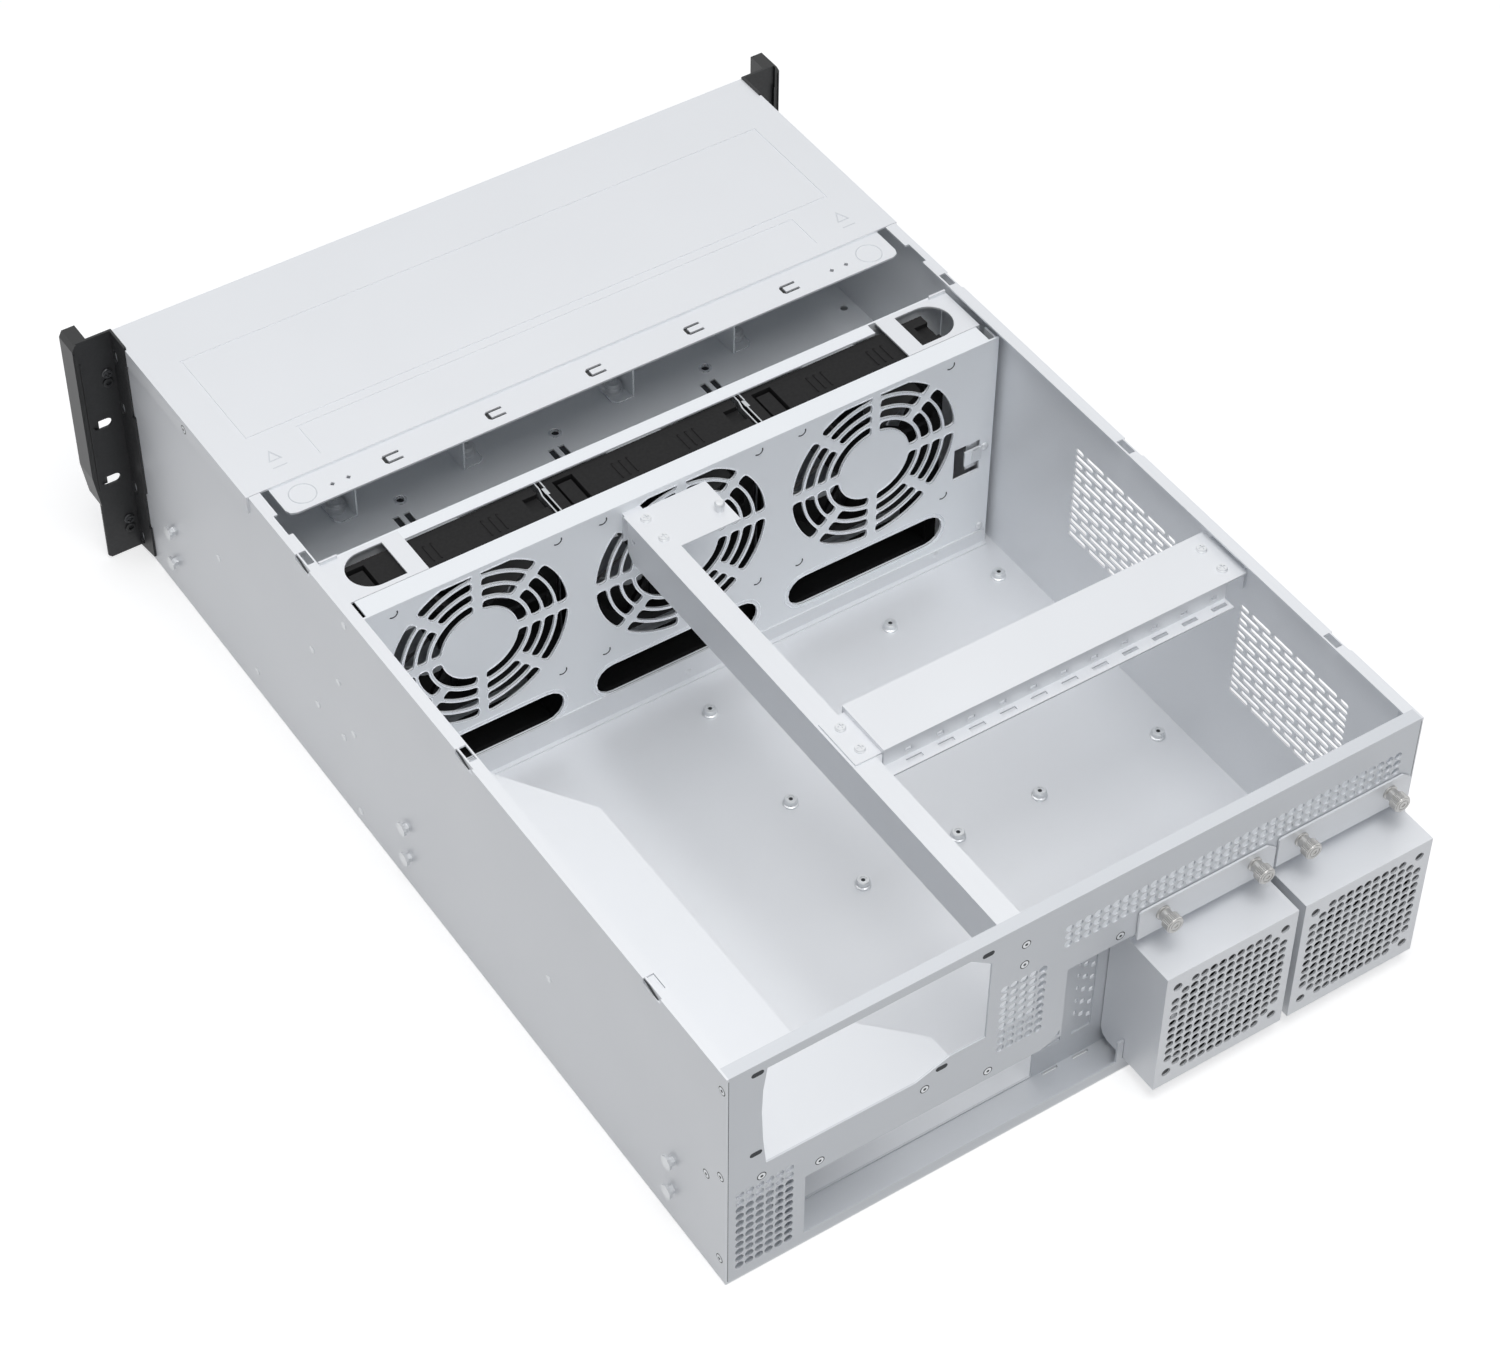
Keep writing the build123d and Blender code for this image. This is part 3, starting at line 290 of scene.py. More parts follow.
def knurled(radius: float, groove: float, heights: Sequence[float], ridges: int) -> Mesh:
    """Grip with straight ridges and chamfered ends, on the origin along +Z.

    Args:
        radius: Radius over the ridges.
        groove: Depth of the grooves between them.
        heights: Foot, end of the lower chamfer, start of the upper chamfer and top.
        ridges: Number of ridges.

    Returns:
        A closed mesh.
    """
    around, rings = ridges * 4, []
    for height, chamfer in zip(heights, (heights[1] - heights[0], 0.0, 0.0, heights[3] - heights[2])):
        reaches = [radius - chamfer - (groove if index % 4 in (2, 3) and not chamfer else 0.0)
                   for index in range(around)]
        rings.append([(*polar(reach, 2 * math.pi * index / around), height)
                      for index, reach in enumerate(reaches)])
    return tube(rings)


def blocks(spans: Iterable[Span]) -> Mesh:
    """One mesh of several blocks, each by its limits on the three axes.

    Args:
        spans: The limits, in the case layout.

    Returns:
        The mesh.
    """
    points: list[Point3] = []
    faces: list[Face] = []
    for span in spans:
        (x0, x1), (y0, y1), (z0, z1) = (sorted(limits) for limits in span)
        for side in ((3, 2, 1, 0), (4, 5, 6, 7), (0, 1, 5, 4), (1, 2, 6, 5), (2, 3, 7, 6), (3, 0, 4, 7)):
            faces.append(tuple(index + len(points) for index in side))
        points += [(x, y, z) for z in (z0, z1) for x, y in ((x0, y0), (x1, y0), (x1, y1), (x0, y1))]
    return mesh_of(points, faces)


def merged(meshes: Sequence[Mesh]) -> Mesh:
    """One mesh with the points and faces of several, without their materials.

    Args:
        meshes: The meshes.

    Returns:
        The joined mesh.
    """
    points: list[Vector] = []
    faces: list[Face] = []
    for mesh in meshes:
        faces += [tuple(index + len(points) for index in face.vertices) for face in mesh.polygons]
        points += [vertex.co.copy() for vertex in mesh.vertices]
    return mesh_of(points, faces)


# Finishes


@dataclass(frozen=True)
class Finish:
    """Surface of one real material.

    Attributes:
        name: Common name of the material and how it was finished.
        slot: Material slot of the record that it belongs to.
        colour: Its colour as sRGB hex.
        metallic: 1 for bare metal, 0 for paint and plastic.
        roughness: Spread of its gloss.
        mottle_mm: Real size of its slight unevenness, or 0 for none.
        mottle: How much the roughness changes over that size.
        gloss: Specular level of paint or plastic.
    """

    name: str
    slot: str
    colour: str
    metallic: float
    roughness: float
    mottle_mm: float = 0.0
    mottle: float = 0.0
    gloss: float = 0.5

    def material(self) -> bpy.types.Material:
        """Builds the material once and returns it from then on.

        Returns:
            The material with its nodes.
        """
        made = bpy.data.materials.get(self.name)
        if made:
            return made
        made = bpy.data.materials.new(self.name)
        made.use_nodes = True
        made.diffuse_color = linear(self.colour)
        tree = made.node_tree
        shader = tree.nodes["Principled BSDF"]
        for socket, value in (("Base Color", linear(self.colour)), ("Metallic", self.metallic),
                              ("Roughness", self.roughness), ("Specular IOR Level", self.gloss)):
            shader.inputs[socket].default_value = value
        if self.mottle_mm:
            place = add_node(tree, "ShaderNodeTexCoord").outputs["Object"]
            noise = add_node(tree, "ShaderNodeTexNoise",
                             {"Vector": place, "Scale": 1000 / self.mottle_mm, "Detail": 3.0},
                             noise_dimensions="3D")
            spread = add_node(tree, "ShaderNodeMapRange",
                              {"Value": noise.outputs["Fac"], "From Min": 0.3, "From Max": 0.7,
                               "To Min": self.roughness - self.mottle,
                               "To Max": self.roughness + self.mottle})
            tree.links.new(spread.outputs["Result"], shader.inputs["Roughness"])
        return made


# Slot of all the zinc-coated sheet.
ZINC = "galvanised_sheet"
# Zinc-coated steel with a fine skin-pass finish: pale blue-grey, an even satin without a mirror image.
ZINC_SHEET = Finish("zinc-coated steel sheet, satin", ZINC, "E9EBEE", 0.25, 0.42, 60.0, 0.03)
# The same sheet painted darker as painted shade on the rear-facing panel, its recess, the card blanks and
# their bracket, and in the cover's pressed marks.
ZINC_SHADED = Finish("zinc-coated steel sheet, painted shade", ZINC, "D6D9DD", 0.25, 0.45, 60.0, 0.03)
# The same sheet painted lighter as painted light on the fan wall, the front rail with its brackets and the
# plate below the cover, which the lamps reach little.
ZINC_LIT = Finish("zinc-coated steel sheet, painted light", ZINC, "F4F7FA", 0.1, 0.4, 60.0, 0.03)
# Painted highlight: near-white shiny metal on thin rims round slots and holes and on rods along the brackets'
# edges.
ZINC_HIGHLIGHT = Finish("zinc-coated steel, painted edge highlight", ZINC, "FAFCFF", 0.8, 0.25)
# Fine-textured epoxy powder on the ears: deep black that spreads its gloss widely.
BLACK_POWDER = Finish("black epoxy powder coat on steel", "black_powder_coat", "1B1C1E", 0.0, 0.5, 1.5, 0.06)
# Moulded ABS of the grips, black with a soft sheen; the same black also makes the pads below the catches,
# which are painted shade in the slits.
BLACK_ABS = Finish("black moulded ABS and painted shade", "black_plastic", "18191A", 0.0, 0.42)
# Glass-filled polyester of the rotors, slightly greyer than the housings.
FAN_PBT = Finish("black glass-filled polyester", "fan_plastic", "232426", 0.0, 0.38)
# Glass-filled nylon of the fan modules, a deep matt black with little gloss.
BLACK_HOUSING = Finish("black glass-filled nylon", "fan_plastic", "121213", 0.0, 0.7, 2.0, 0.05, 0.25)
# Black-oxide steel screws on the ears, painted a lighter grey than they are as painted highlight, and a
# little shinier than the powder round them.
BLACK_SCREW = Finish("black-oxide steel screws with painted highlight", "black_powder_coat", "4A4B4D", 0.6, 0.3)
# Electroless nickel on the turned thumbscrews: neutral grey with a soft shine.
NICKEL = Finish("electroless nickel on turned brass", "nickel", "BEBDBB", 0.9, 0.34)
# Clear zinc plating on screws, pins and studs: brighter than the sheets.
ZINC_PLATE = Finish("clear zinc plate on steel screws", "plated_steel", "E6E8EA", 0.5, 0.3)
# Hardened strip with a bright rolled face.
SPRING_STRIP = Finish("bright rolled spring steel", "spring_steel", "C4C7CA", 0.9, 0.3)
# Painted shade: near-black plates, rings and cores in the countersinks, slots, seams, bores and openings,
# where hardly any light comes back.
PAINTED_SHADE = Finish("painted shade in the countersinks and slots", "plated_steel", "34373A", 0.0, 0.7)

SLOT_FINISHES = {finish.slot: finish for finish in (ZINC_SHEET, BLACK_POWDER, BLACK_ABS, FAN_PBT, NICKEL,
                                                    ZINC_PLATE, SPRING_STRIP)}
# CAD nodes that take the darker painted-shade or the lighter painted-light copy of the common sheet.
NODE_FINISHES = {"slot_bracket": ZINC_SHADED, "mid_shelf": ZINC_LIT, "cage_front": ZINC_LIT,
                 **{f"cage_bracket_{number}": ZINC_LIT for number in range(1, 5)}}


# Geometry trees


class NodeRecipe:
    """A Geometry Nodes tree with named inputs after its points, run on an object of points."""

    inputs: ClassVar[dict[str, str]] = {}

    def __init__(self) -> None:
        """Builds the tree between its inputs, Realize Instances and Set Material."""
        self.tree = bpy.data.node_groups.new(type(self).__name__, "GeometryNodeTree")
        sockets = self.tree.interface
        sockets.new_socket("Points", in_out="INPUT", socket_type="NodeSocketGeometry")
        self.identifiers: dict[str, str] = {}
        for label, kind in self.inputs.items():
            socket = sockets.new_socket(label, in_out="INPUT", socket_type="NodeSocket" + kind)
            self.identifiers[label] = socket.identifier
        sockets.new_socket("Mesh", in_out="OUTPUT", socket_type="NodeSocketGeometry")
        self.source = add_node(self.tree, "NodeGroupInput").outputs
        real = add_node(self.tree, "GeometryNodeRealizeInstances", {"Geometry": self.build()})
        dressed = add_node(self.tree, "GeometryNodeSetMaterial",
                           {"Geometry": real, "Material": self.source["Material"]})
        add_node(self.tree, "NodeGroupOutput", {0: dressed})

    def build(self) -> bpy.types.Node:
        """Adds the nodes of the tree and returns the last one."""
        raise NotImplementedError

    def make(self, points: Mesh, values: dict[str, object]) -> Mesh:
        """Runs the tree on a mesh of points.

        Args:
            points: Vertices that carry the repeats, with their attributes.
            values: Value of each named input.

        Returns:
            A plain mesh in millimetres.
        """
        carrier = linked("carrier", points)
        modifier = carrier.modifiers.new("recipe", "NODES")
        modifier.node_group = self.tree
        for label, value in values.items():
            modifier[self.identifiers[label]] = value
        return plain_mesh(carrier)


class PunchedSheet(NodeRecipe):
    """Flat sheet cut to an outline, with one shape of hole punched at every point."""

    inputs = {"Outline": "Object", "Hole": "Object", "Thickness": "Float", "Material": "Material"}

    def build(self) -> bpy.types.Node:
        """Fills the outline round the holes, gives the sheet its thickness and welds it.

        Returns:
            The node with the welded sheet.
        """
        tree, source = self.tree, self.source
        rim = add_node(tree, "GeometryNodeObjectInfo", {"Object": source["Outline"]})
        hole = add_node(tree, "GeometryNodeObjectInfo", {"Object": source["Hole"]})
        holes = add_node(tree, "GeometryNodeInstanceOnPoints",
                         {"Points": source["Points"], "Instance": hole.outputs["Geometry"]})
        cut = add_node(tree, "GeometryNodeRealizeInstances", {"Geometry": holes})
        lines = add_node(tree, "GeometryNodeJoinGeometry", {0: [rim.outputs["Geometry"], cut]})
        face = add_node(tree, "GeometryNodeFillCurve", {"Curve": lines})
        depth = add_node(tree, "ShaderNodeCombineXYZ", {"Z": source["Thickness"]})
        block = add_node(tree, "GeometryNodeExtrudeMesh",
                         {"Mesh": face, "Offset": depth, "Individual": False}, mode="FACES")
        under = add_node(tree, "GeometryNodeFlipFaces", {"Mesh": face})
        both = add_node(tree, "GeometryNodeJoinGeometry", {0: [block, under]})
        return add_node(tree, "GeometryNodeMergeByDistance", {"Geometry": both, "Distance": WELD})


class SetPieces(NodeRecipe):
    """The same small piece set at every point, with its axis along the point's aim."""

    inputs = {"Piece": "Object", "Size": "Float", "Material": "Material"}

    def build(self) -> bpy.types.Node:
        """Turns the piece to each point's aim and sets it there.

        Returns:
            The node with the pieces.
        """
        tree, source = self.tree, self.source
        piece = add_node(tree, "GeometryNodeObjectInfo", {"Object": source["Piece"]})
        aim = add_node(tree, "GeometryNodeInputNamedAttribute", {"Name": "aim"}, data_type="FLOAT_VECTOR")
        turn = add_node(tree, "FunctionNodeAlignRotationToVector", {"Vector": aim}, axis="Z")
        size = add_node(tree, "ShaderNodeCombineXYZ", {axis: source["Size"] for axis in "XYZ"})
        return add_node(tree, "GeometryNodeInstanceOnPoints",
                        {"Points": source["Points"], "Instance": piece.outputs["Geometry"], "Rotation": turn,
                         "Scale": size})


# Base of the sub-assemblies


class Assembly:
    """Base of the sub-assemblies: cuts sheets, sets pieces and stands them in the frame."""

    nodes: ClassVar[dict[str, bpy.types.Object]] = {}
    punched: ClassVar[NodeRecipe]
    pieces: ClassVar[NodeRecipe]

    @classmethod
    def prepare(cls, nodes: dict[str, bpy.types.Object]) -> None:
        """Keeps the CAD nodes and builds the trees for every sub-assembly."""
        cls.nodes, cls.punched, cls.pieces = nodes, PunchedSheet(), SetPieces()

    def build(self) -> None:
        """Builds the pieces of the sub-assembly and stands them in the frame."""
        raise NotImplementedError

    @staticmethod
    def curve(loops: Iterable[Loop]) -> bpy.types.Object:
        """Hidden helper object with one closed straight-edged spline per loop.

        Args:
            loops: The loops.

        Returns:
            The helper.
        """
        data = bpy.data.curves.new("loops", "CURVE")
        data.dimensions = "3D"
        for loop in loops:
            spline = data.splines.new("POLY")
            spline.points.add(len(loop) - 1)
            for point, (u, v) in zip(spline.points, loop):
                point.co = (u, v, 0.0, 1.0)
            spline.use_cyclic_u = True
        return linked("loops", data)

    @staticmethod
    def point_mesh(places: Sequence[Place]) -> Mesh:
        """Mesh of loose points, each with its direction as the attribute that the tree reads.

        Args:
            places: Point and direction of each repeat.

        Returns:
            The mesh of points.
        """
        mesh = mesh_of([place for place, _ in places], [])
        mesh.attributes.new("aim", "FLOAT_VECTOR", "POINT")
        for value, (_, aim) in zip(mesh.attributes["aim"].data, places):
            value.vector = aim
        return mesh

    def sheet(self, loops: Sequence[Loop], finish: Finish, stand: Matrix | None = None,
              thickness: float = SHEET, hole: Loop | None = None, places: Sequence[Point2] = ()) -> Mesh:
        """Flat sheet from its outline and large openings, with one hole shape punched at many places.

        Args:
            loops: Rim of the sheet and its single openings.
            finish: Finish of the sheet.
            stand: Matrix that stands it up, or None to leave it flat.
            thickness: Thickness in millimetres.
            hole: Loop of the repeated hole, drawn round the origin.
            places: Where the hole is punched.

        Returns:
            The sheet's mesh in millimetres.
        """
        rim, punch = self.curve(loops), self.curve([hole] if hole else [])
        made = self.punched.make(self.point_mesh([((u, v, 0.0), UP) for u, v in places]),
                                 {"Outline": rim, "Hole": punch, "Thickness": thickness,
                                  "Material": finish.material()})
        for helper in (rim, punch):
            bpy.data.objects.remove(helper)
        if stand is not None:
            made.transform(stand)
        return made

    def set_at(self, shape: Mesh, places: Sequence[Place], finish: Finish,
               size: float = 1.0) -> Mesh:
        """One mesh of the same small piece at many places.

        Args:
            shape: The piece, standing on the origin along +Z, in millimetres.
            places: Point and direction of each piece.
            finish: Finish of the pieces.
            size: Scale of the piece.

        Returns:
            The joined mesh in the case layout.
        """
        pattern = linked("pattern", shape)
        made = self.pieces.make(self.point_mesh(places),
                                {"Piece": pattern, "Size": size, "Material": finish.material()})
        bpy.data.objects.remove(pattern)
        return made

    def cut_node(self, name: str, spans: Iterable[Span]) -> Mesh:
        """Copy of a CAD node's mesh with blocks cut out of it, to take finer sheets there.

        Args:
            name: The node.
            spans: The blocks, in the case layout.

        Returns:
            The welded copy in the case layout.
        """
        copy = self.nodes[name].data.copy()
        copy.transform(to_row().inverted())
        welded = bmesh.new()
        welded.from_mesh(copy)
        bmesh.ops.remove_doubles(welded, verts=welded.verts, dist=2 * WELD)
        welded.to_mesh(copy)
        welded.free()
        whole, cutter = linked("whole", copy), linked("cutter", blocks(spans))
        modifier = whole.modifiers.new("cut", "BOOLEAN")
        modifier.object, modifier.operation, modifier.solver = cutter, "DIFFERENCE", "EXACT"
        made = plain_mesh(whole)
        bpy.data.objects.remove(cutter)
        return made

    def stand(self, name: str, meshes: Sequence[Mesh], finish: Finish, body: str = "chassis",
              stood_for: str = "", smooth: bool = False) -> None:
        """Joins meshes in the case layout to one piece that rides on a body.

        Args:
            name: Name of the piece.
            meshes: Meshes in the case layout.
            finish: Finish of the whole piece.
            body: CAD body that it rides on.
            stood_for: CAD node that it stands for, if any.
            smooth: Whether its faces shade smoothly, apart from sharp edges.
        """
        joined = merged(meshes)
        joined.name = name
        joined.materials.append(finish.material())
        joined.transform(to_row())
        joined.validate()
        piece = linked(name, joined)
        if smooth:
            joined.shade_smooth()
            joined.set_sharp_from_angle(angle=math.radians(SMOOTH_BELOW))
        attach(piece, body)
        if stood_for:
            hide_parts(stood_for)
        LOG.info("%s: %d faces on %s", name, len(joined.polygons), body)

    def repeat(self, name: str, shape: Mesh, places: Sequence[Place], finish: Finish,
               **rides: object) -> None:
        """Stands one piece that is the same shape at many places, with the arguments of ``stand``."""
        self.stand(name, [self.set_at(shape, places, finish)], finish, **rides)

    def refine(self, name: str, node: str, spans: Sequence[Span], sheet: Mesh, finish: Finish,
               body: str = "chassis") -> None:
        """Stands a CAD node's copy with blocks cut out of it and a finer sheet set there."""
        self.stand(name, [self.cut_node(node, spans), sheet], finish, body, node)

    def pan_head(self, radius: float, finish: Finish) -> Mesh:
        """Pan head of a radius, with a cross recess, standing on the origin.

        Args:
            radius: Radius of the head.
            finish: Its finish.

        Returns:
            The closed mesh.
        """
        bar, arm, rim = 0.55, 1.9, radius * 0.86
        cross = [(bar, bar), (arm, bar), (arm, -bar), (bar, -bar), (bar, -arm), (-bar, -arm), (-bar, -bar),
                 (-arm, -bar), (-arm, bar), (-bar, bar), (-bar, arm), (bar, arm)]
        top = self.sheet([circle(0, 0, rim, 20), cross], finish, Facing.LEVEL.stand(1.0), 0.7)
        return merged([lathe([(0, 0), (radius, 0), (radius, 0.55), (rim, 1.0), (0, 1.0)], 20), top])


# Sub-assemblies


@dataclass
class SideVents(Assembly):
    """Far side wall with its two fields of staggered slots, each from its start along the case."""

    starts: tuple[float, ...] = (353.0, 504.5)
    length: float = 17.1
    height: float = 3.3
    gap: float = 1.9
    rows: int = 14
    row_pitch: float = 5.05
    top: float = 131.5
    per_row: int = 5

    def build(self) -> None:
        """Cuts the slot fields out of the CAD wall and sets finer sheets there."""
        pitch = self.length + self.gap
        rims, places, halves, spans = [], [], [], []
        for start in self.starts:
            end = start + self.per_row * pitch - self.gap
            zone = ((start - 1, end + 1), (self.top - (self.rows - 1) * self.row_pitch - 3, self.top + 3))
            rims.append(rectangle(*zone))
            spans.append(((-WALL_FACE - 0.5, SHEET - WALL_FACE + 0.5), *zone))
            for row in range(self.rows):
                z = self.top - row * self.row_pitch
                even = 1 - row % 2
                for index in range(self.per_row + even):
                    low = start + index * pitch - even * pitch / 2
                    high = low + self.length
                    if low >= start and high <= end + 0.01:
                        places.append((low + self.length / 2, z))
                    else:
                        low, high = max(low, start), min(high, end)
                        halves.append(obround((low + high) / 2, z, high - low, self.height, 4))
        insert = self.sheet(rims + halves, ZINC_SHEET, Facing.ALONG.stand(-WALL_FACE),
                            hole=obround(0, 0, self.length, self.height, 4), places=places)
        self.refine("side_wall_sheet", "side_wall_right", spans, insert, ZINC_SHEET)


@dataclass
class FanWall(Assembly):
    """Rear wall of the fan cage with its arc-slot grilles, cable slots and painted highlights round their
    rims.

    Attributes:
        height: Height of the grilles' centre.
        rings: Inner and outer radius of each ring of slots.
        top_limit: Height over the centre where the outer ring is cut flat, below the folded flange.
        cable: Length, height, rise and shift of the cable slots.
        half: Half the width of a finer sheet.
        heights: Its lower and upper edge.
        rim: Width of the painted-highlight rims round the grille slots.
        rim_span: Rear and front face of the rims, from the wall's rear face.
        cable_rims: How much each edge of a cable slot's rims is longer than the slot.
    """

    height: float = 108.5
    rings: tuple[Point2, ...] = ((24.9, 31.5), (33.7, 40.3), (42.0, 48.8), (50.5, 57.5))
    spoke: float = 4.4
    top_limit: float = 53.0
    cable: tuple[float, float, float, float] = (111.3, 22.4, 31.4, 3.2)
    half: float = 58.8
    heights: Point2 = (15.0, 163.5)
    rim: float = 0.55
    rim_span: Point2 = (0.3, -0.05)
    cable_rims: tuple[float, ...] = (0.0, 1.2, 4.6, 5.4)

    def slot(self, radii: Point2, first: float, last: float, grow: float) -> Loop:
        """Loop of one arc slot between two spokes, with rounded ends.

        Args:
            radii: Inner and outer radius.
            first: Angle of the spoke before it, in degrees.
            last: Angle of the spoke after it, in degrees.
            grow: Margin that it grows by.

        Returns:
            The loop round the fan's axis.
        """
        inner, outer = radii[0] - grow, radii[1] + grow
        middle, half = (inner + outer) / 2, (outer - inner) / 2
        trim = math.degrees((self.spoke / 2 - grow + half) / middle)
        start, end = math.radians(first + trim), math.radians(last - trim)
        steps = max(3, round((last - first) / 6))
        there = [polar(outer, start + (end - start) * k / steps) for k in range(steps + 1)]
        back = [polar(inner, end + (start - end) * k / steps) for k in range(steps + 1)]
        return [*there, *self.cap(middle, half, end, 1), *back, *self.cap(middle, half, start, -1)]

    @staticmethod
    def cap(middle: float, half: float, angle: float, sense: int) -> Loop:
        """Points of the rounded end of an arc slot, squared a little at its corners.

        Args:
            middle: Radius along the slot's middle.
            half: Half its width.
            angle: Where its straight part ends, in radians.
            sense: 1 for the end with the larger angle, -1 for the other.

        Returns:
            The points.
        """
        turns = [math.radians(degrees) for degrees in range(30, 151, 30)]
        return [polar(middle + sense * half * math.cos(turn),
                      angle + sense * half * math.sin(turn) ** 0.6 * 0.8 / middle) for turn in turns]

    def grille(self, centre: float, grow: float = 0.0) -> list[Loop]:
        """Loops of all slots of the grille round a centre, grown by a margin.

        Args:
            centre: Middle of the fan across the case.
            grow: The margin.

        Returns:
            The loops.
        """
        loops = []
        for number, radii in enumerate(self.rings):
            width = 45 if number else 90
            limit = self.top_limit + grow if number == len(self.rings) - 1 else math.inf
            for first in range(0, 360, width):
                loops.append([(centre + u, self.height + min(v, limit))
                              for u, v in self.slot(radii, first, first + width, grow)])
        return loops

    def build(self) -> None:
        """Builds the wall from the CAD sheet and three finer grille sheets, and then the painted-highlight
        rims round its slots.
        """
        length, width, rise, shift = self.cable
        loops, spans, rims = [], [], []
        for centre in FAN_CENTRES:
            zone = ((centre - self.half, centre + self.half), self.heights)
            spans.append((zone[0], (CAGE_REAR - 2 * SHEET, CAGE_REAR + 1), zone[1]))
            loops += [rectangle(*zone), *self.grille(centre), obround(centre + shift, rise, length, width)]
            rims += self.grille(centre, self.rim) + self.grille(centre)
            rims += [obround(centre + shift, rise, length + grow, width + grow) for grow in self.cable_rims]
        # The grille sheets take the lighter sheet: painted light on the fan wall.
        insert = self.sheet(loops, ZINC_LIT, Facing.ACROSS.stand(CAGE_REAR))
        self.refine("fan_wall_sheet", "fan_wall", spans, insert, ZINC_LIT)
        # Thin near-white rims round every slot: painted highlight.
        edges = self.sheet(rims, ZINC_HIGHLIGHT, Facing.ACROSS.stand(CAGE_REAR + self.rim_span[0]),
                           self.rim_span[0] - self.rim_span[1])
        self.stand("slot_rims", [edges], ZINC_HIGHLIGHT)


@dataclass
class RearPanel(Assembly):
    """Rear wall with fields of round vents, each by its first hole, columns and rows."""

    fields: tuple[tuple[float, float, int, int], ...] = ((11.3, 148.7, 37, 3), (50.2, 126.0, 5, 9),
                                                         (210.2, 71.3, 6, 11))
    edge: float = VENT_PITCH / 2 + 1.5

    def build(self) -> None:
        """Cuts the vent fields out of the CAD panel and sets finer sheets there."""
        rims, places, spans = [], [], []
        for u, v, columns, rows in self.fields:
            zone = ((u - (columns - 1) * VENT_PITCH - self.edge, u + self.edge),
                    (v - (rows - 1) * VENT_PITCH - self.edge, v + self.edge))
            rims.append(rectangle(*zone))
            spans.append((zone[0], (PANEL_REAR - SHEET - 0.5, PANEL_REAR + 0.5), zone[1]))
            places += [(u - column * VENT_PITCH, v - row * VENT_PITCH)
                       for column in range(columns) for row in range(rows)]
        # The vent field takes the darker sheet: painted shade on the rear face.
        insert = self.sheet(rims, ZINC_SHADED, Facing.ACROSS.stand(PANEL_REAR),
                            hole=circle(0, 0, VENT_RADIUS, VENT_SIDES), places=places)
        self.refine("rear_panel_sheet", "rear_panel", spans, insert, ZINC_SHADED)


@dataclass
class RearFanBox(Assembly):
    """One rear fan box: the grid of round holes in its face, and the rotor behind it.

    Attributes:
        centre: Middle of the box across the case.
        edge: Distance from the outer holes' centres to the edge of the finer sheet.
        screws: Half the distance between the fan screws.
        root: Radius where the blades start.
        sweep: Angle that a blade covers, in degrees.
    """

    number: int
    centre: float
    grid: int = 13
    edge: float = 4.4
    screws: float = 35.75
    screw_hole: float = 2.9
    face: float = 676.5
    hub: float = 13.9
    bore: float = 2.55
    root: float = 13.4
    tip: float = 36.5
    blades: int = 11
    blade_steps: int = 6
    thick: float = 1.1
    sweep: float = 56.0
    hub_span: Point2 = (652.5, 672.0)
    blade_span: Point2 = (654.0, 669.5)

    def blade(self, first: float) -> Mesh:
        """One helical blade from the angle of its front edge, in degrees.

        Args:
            first: The angle.

        Returns:
            The closed mesh in the case layout.
        """
        steps, (front, rear) = self.blade_steps, self.blade_span
        rings = []
        for k in range(steps + 1):
            angle = math.radians(first + self.sweep * k / steps)
            y = front + (rear - front) * k / steps
            corners = ((self.root, y), (self.tip, y), (self.tip, y + self.thick), (self.root, y + self.thick))
            rings.append([(self.centre + radius * math.cos(angle), depth,
                           BOX_FAN_HEIGHT + radius * math.sin(angle)) for radius, depth in corners])
        return tube(rings)

    def build(self) -> None:
        """Cuts the grid out of the CAD box, sets a finer sheet there and builds the rotor."""
        middle = self.grid // 2
        reach, steps = middle * VENT_PITCH + self.edge, range(-middle, middle + 1)
        zone = ((self.centre - reach, self.centre + reach), (BOX_FAN_HEIGHT - reach, BOX_FAN_HEIGHT + reach))
        places = [(self.centre + a * VENT_PITCH, BOX_FAN_HEIGHT + b * VENT_PITCH)
                  for a in steps for b in steps if abs(b) <= middle - max(0, abs(a) + 2 - middle)]
        corners = [circle(self.centre + a * self.screws, BOX_FAN_HEIGHT + b * self.screws, self.screw_hole)
                   for a in (-1, 1) for b in (-1, 1)]
        insert = self.sheet([rectangle(*zone), *corners], ZINC_SHEET, Facing.ACROSS.stand(self.face),
                            hole=circle(0, 0, VENT_RADIUS, VENT_SIDES), places=places)
        spans = [(zone[0], (self.face - SHEET - 0.3, self.face + 0.5), zone[1])]
        self.refine(f"fan_box_sheet_{self.number}", f"rear_fan_box_{self.number}", spans, insert, ZINC_SHEET,
                    f"rear_box_{self.number}")
        depth = self.hub_span[1] - self.hub_span[0]
        hub = lathe([(self.bore, 0), (self.hub, 0), (self.hub, depth - 1.0), (self.hub - 1.0, depth),
                     (self.bore, depth), (self.bore, 0)], 32)
        place = ((self.centre, self.hub_span[0], BOX_FAN_HEIGHT), BACK)
        blades = [self.blade(360 / self.blades * index) for index in range(self.blades)]
        self.stand(f"small_rotor_{self.number}_blades", [self.set_at(hub, [place], FAN_PBT), *blades],
                   FAN_PBT, f"small_rotor_{self.number}", f"rear_fan_rotor_{self.number}")


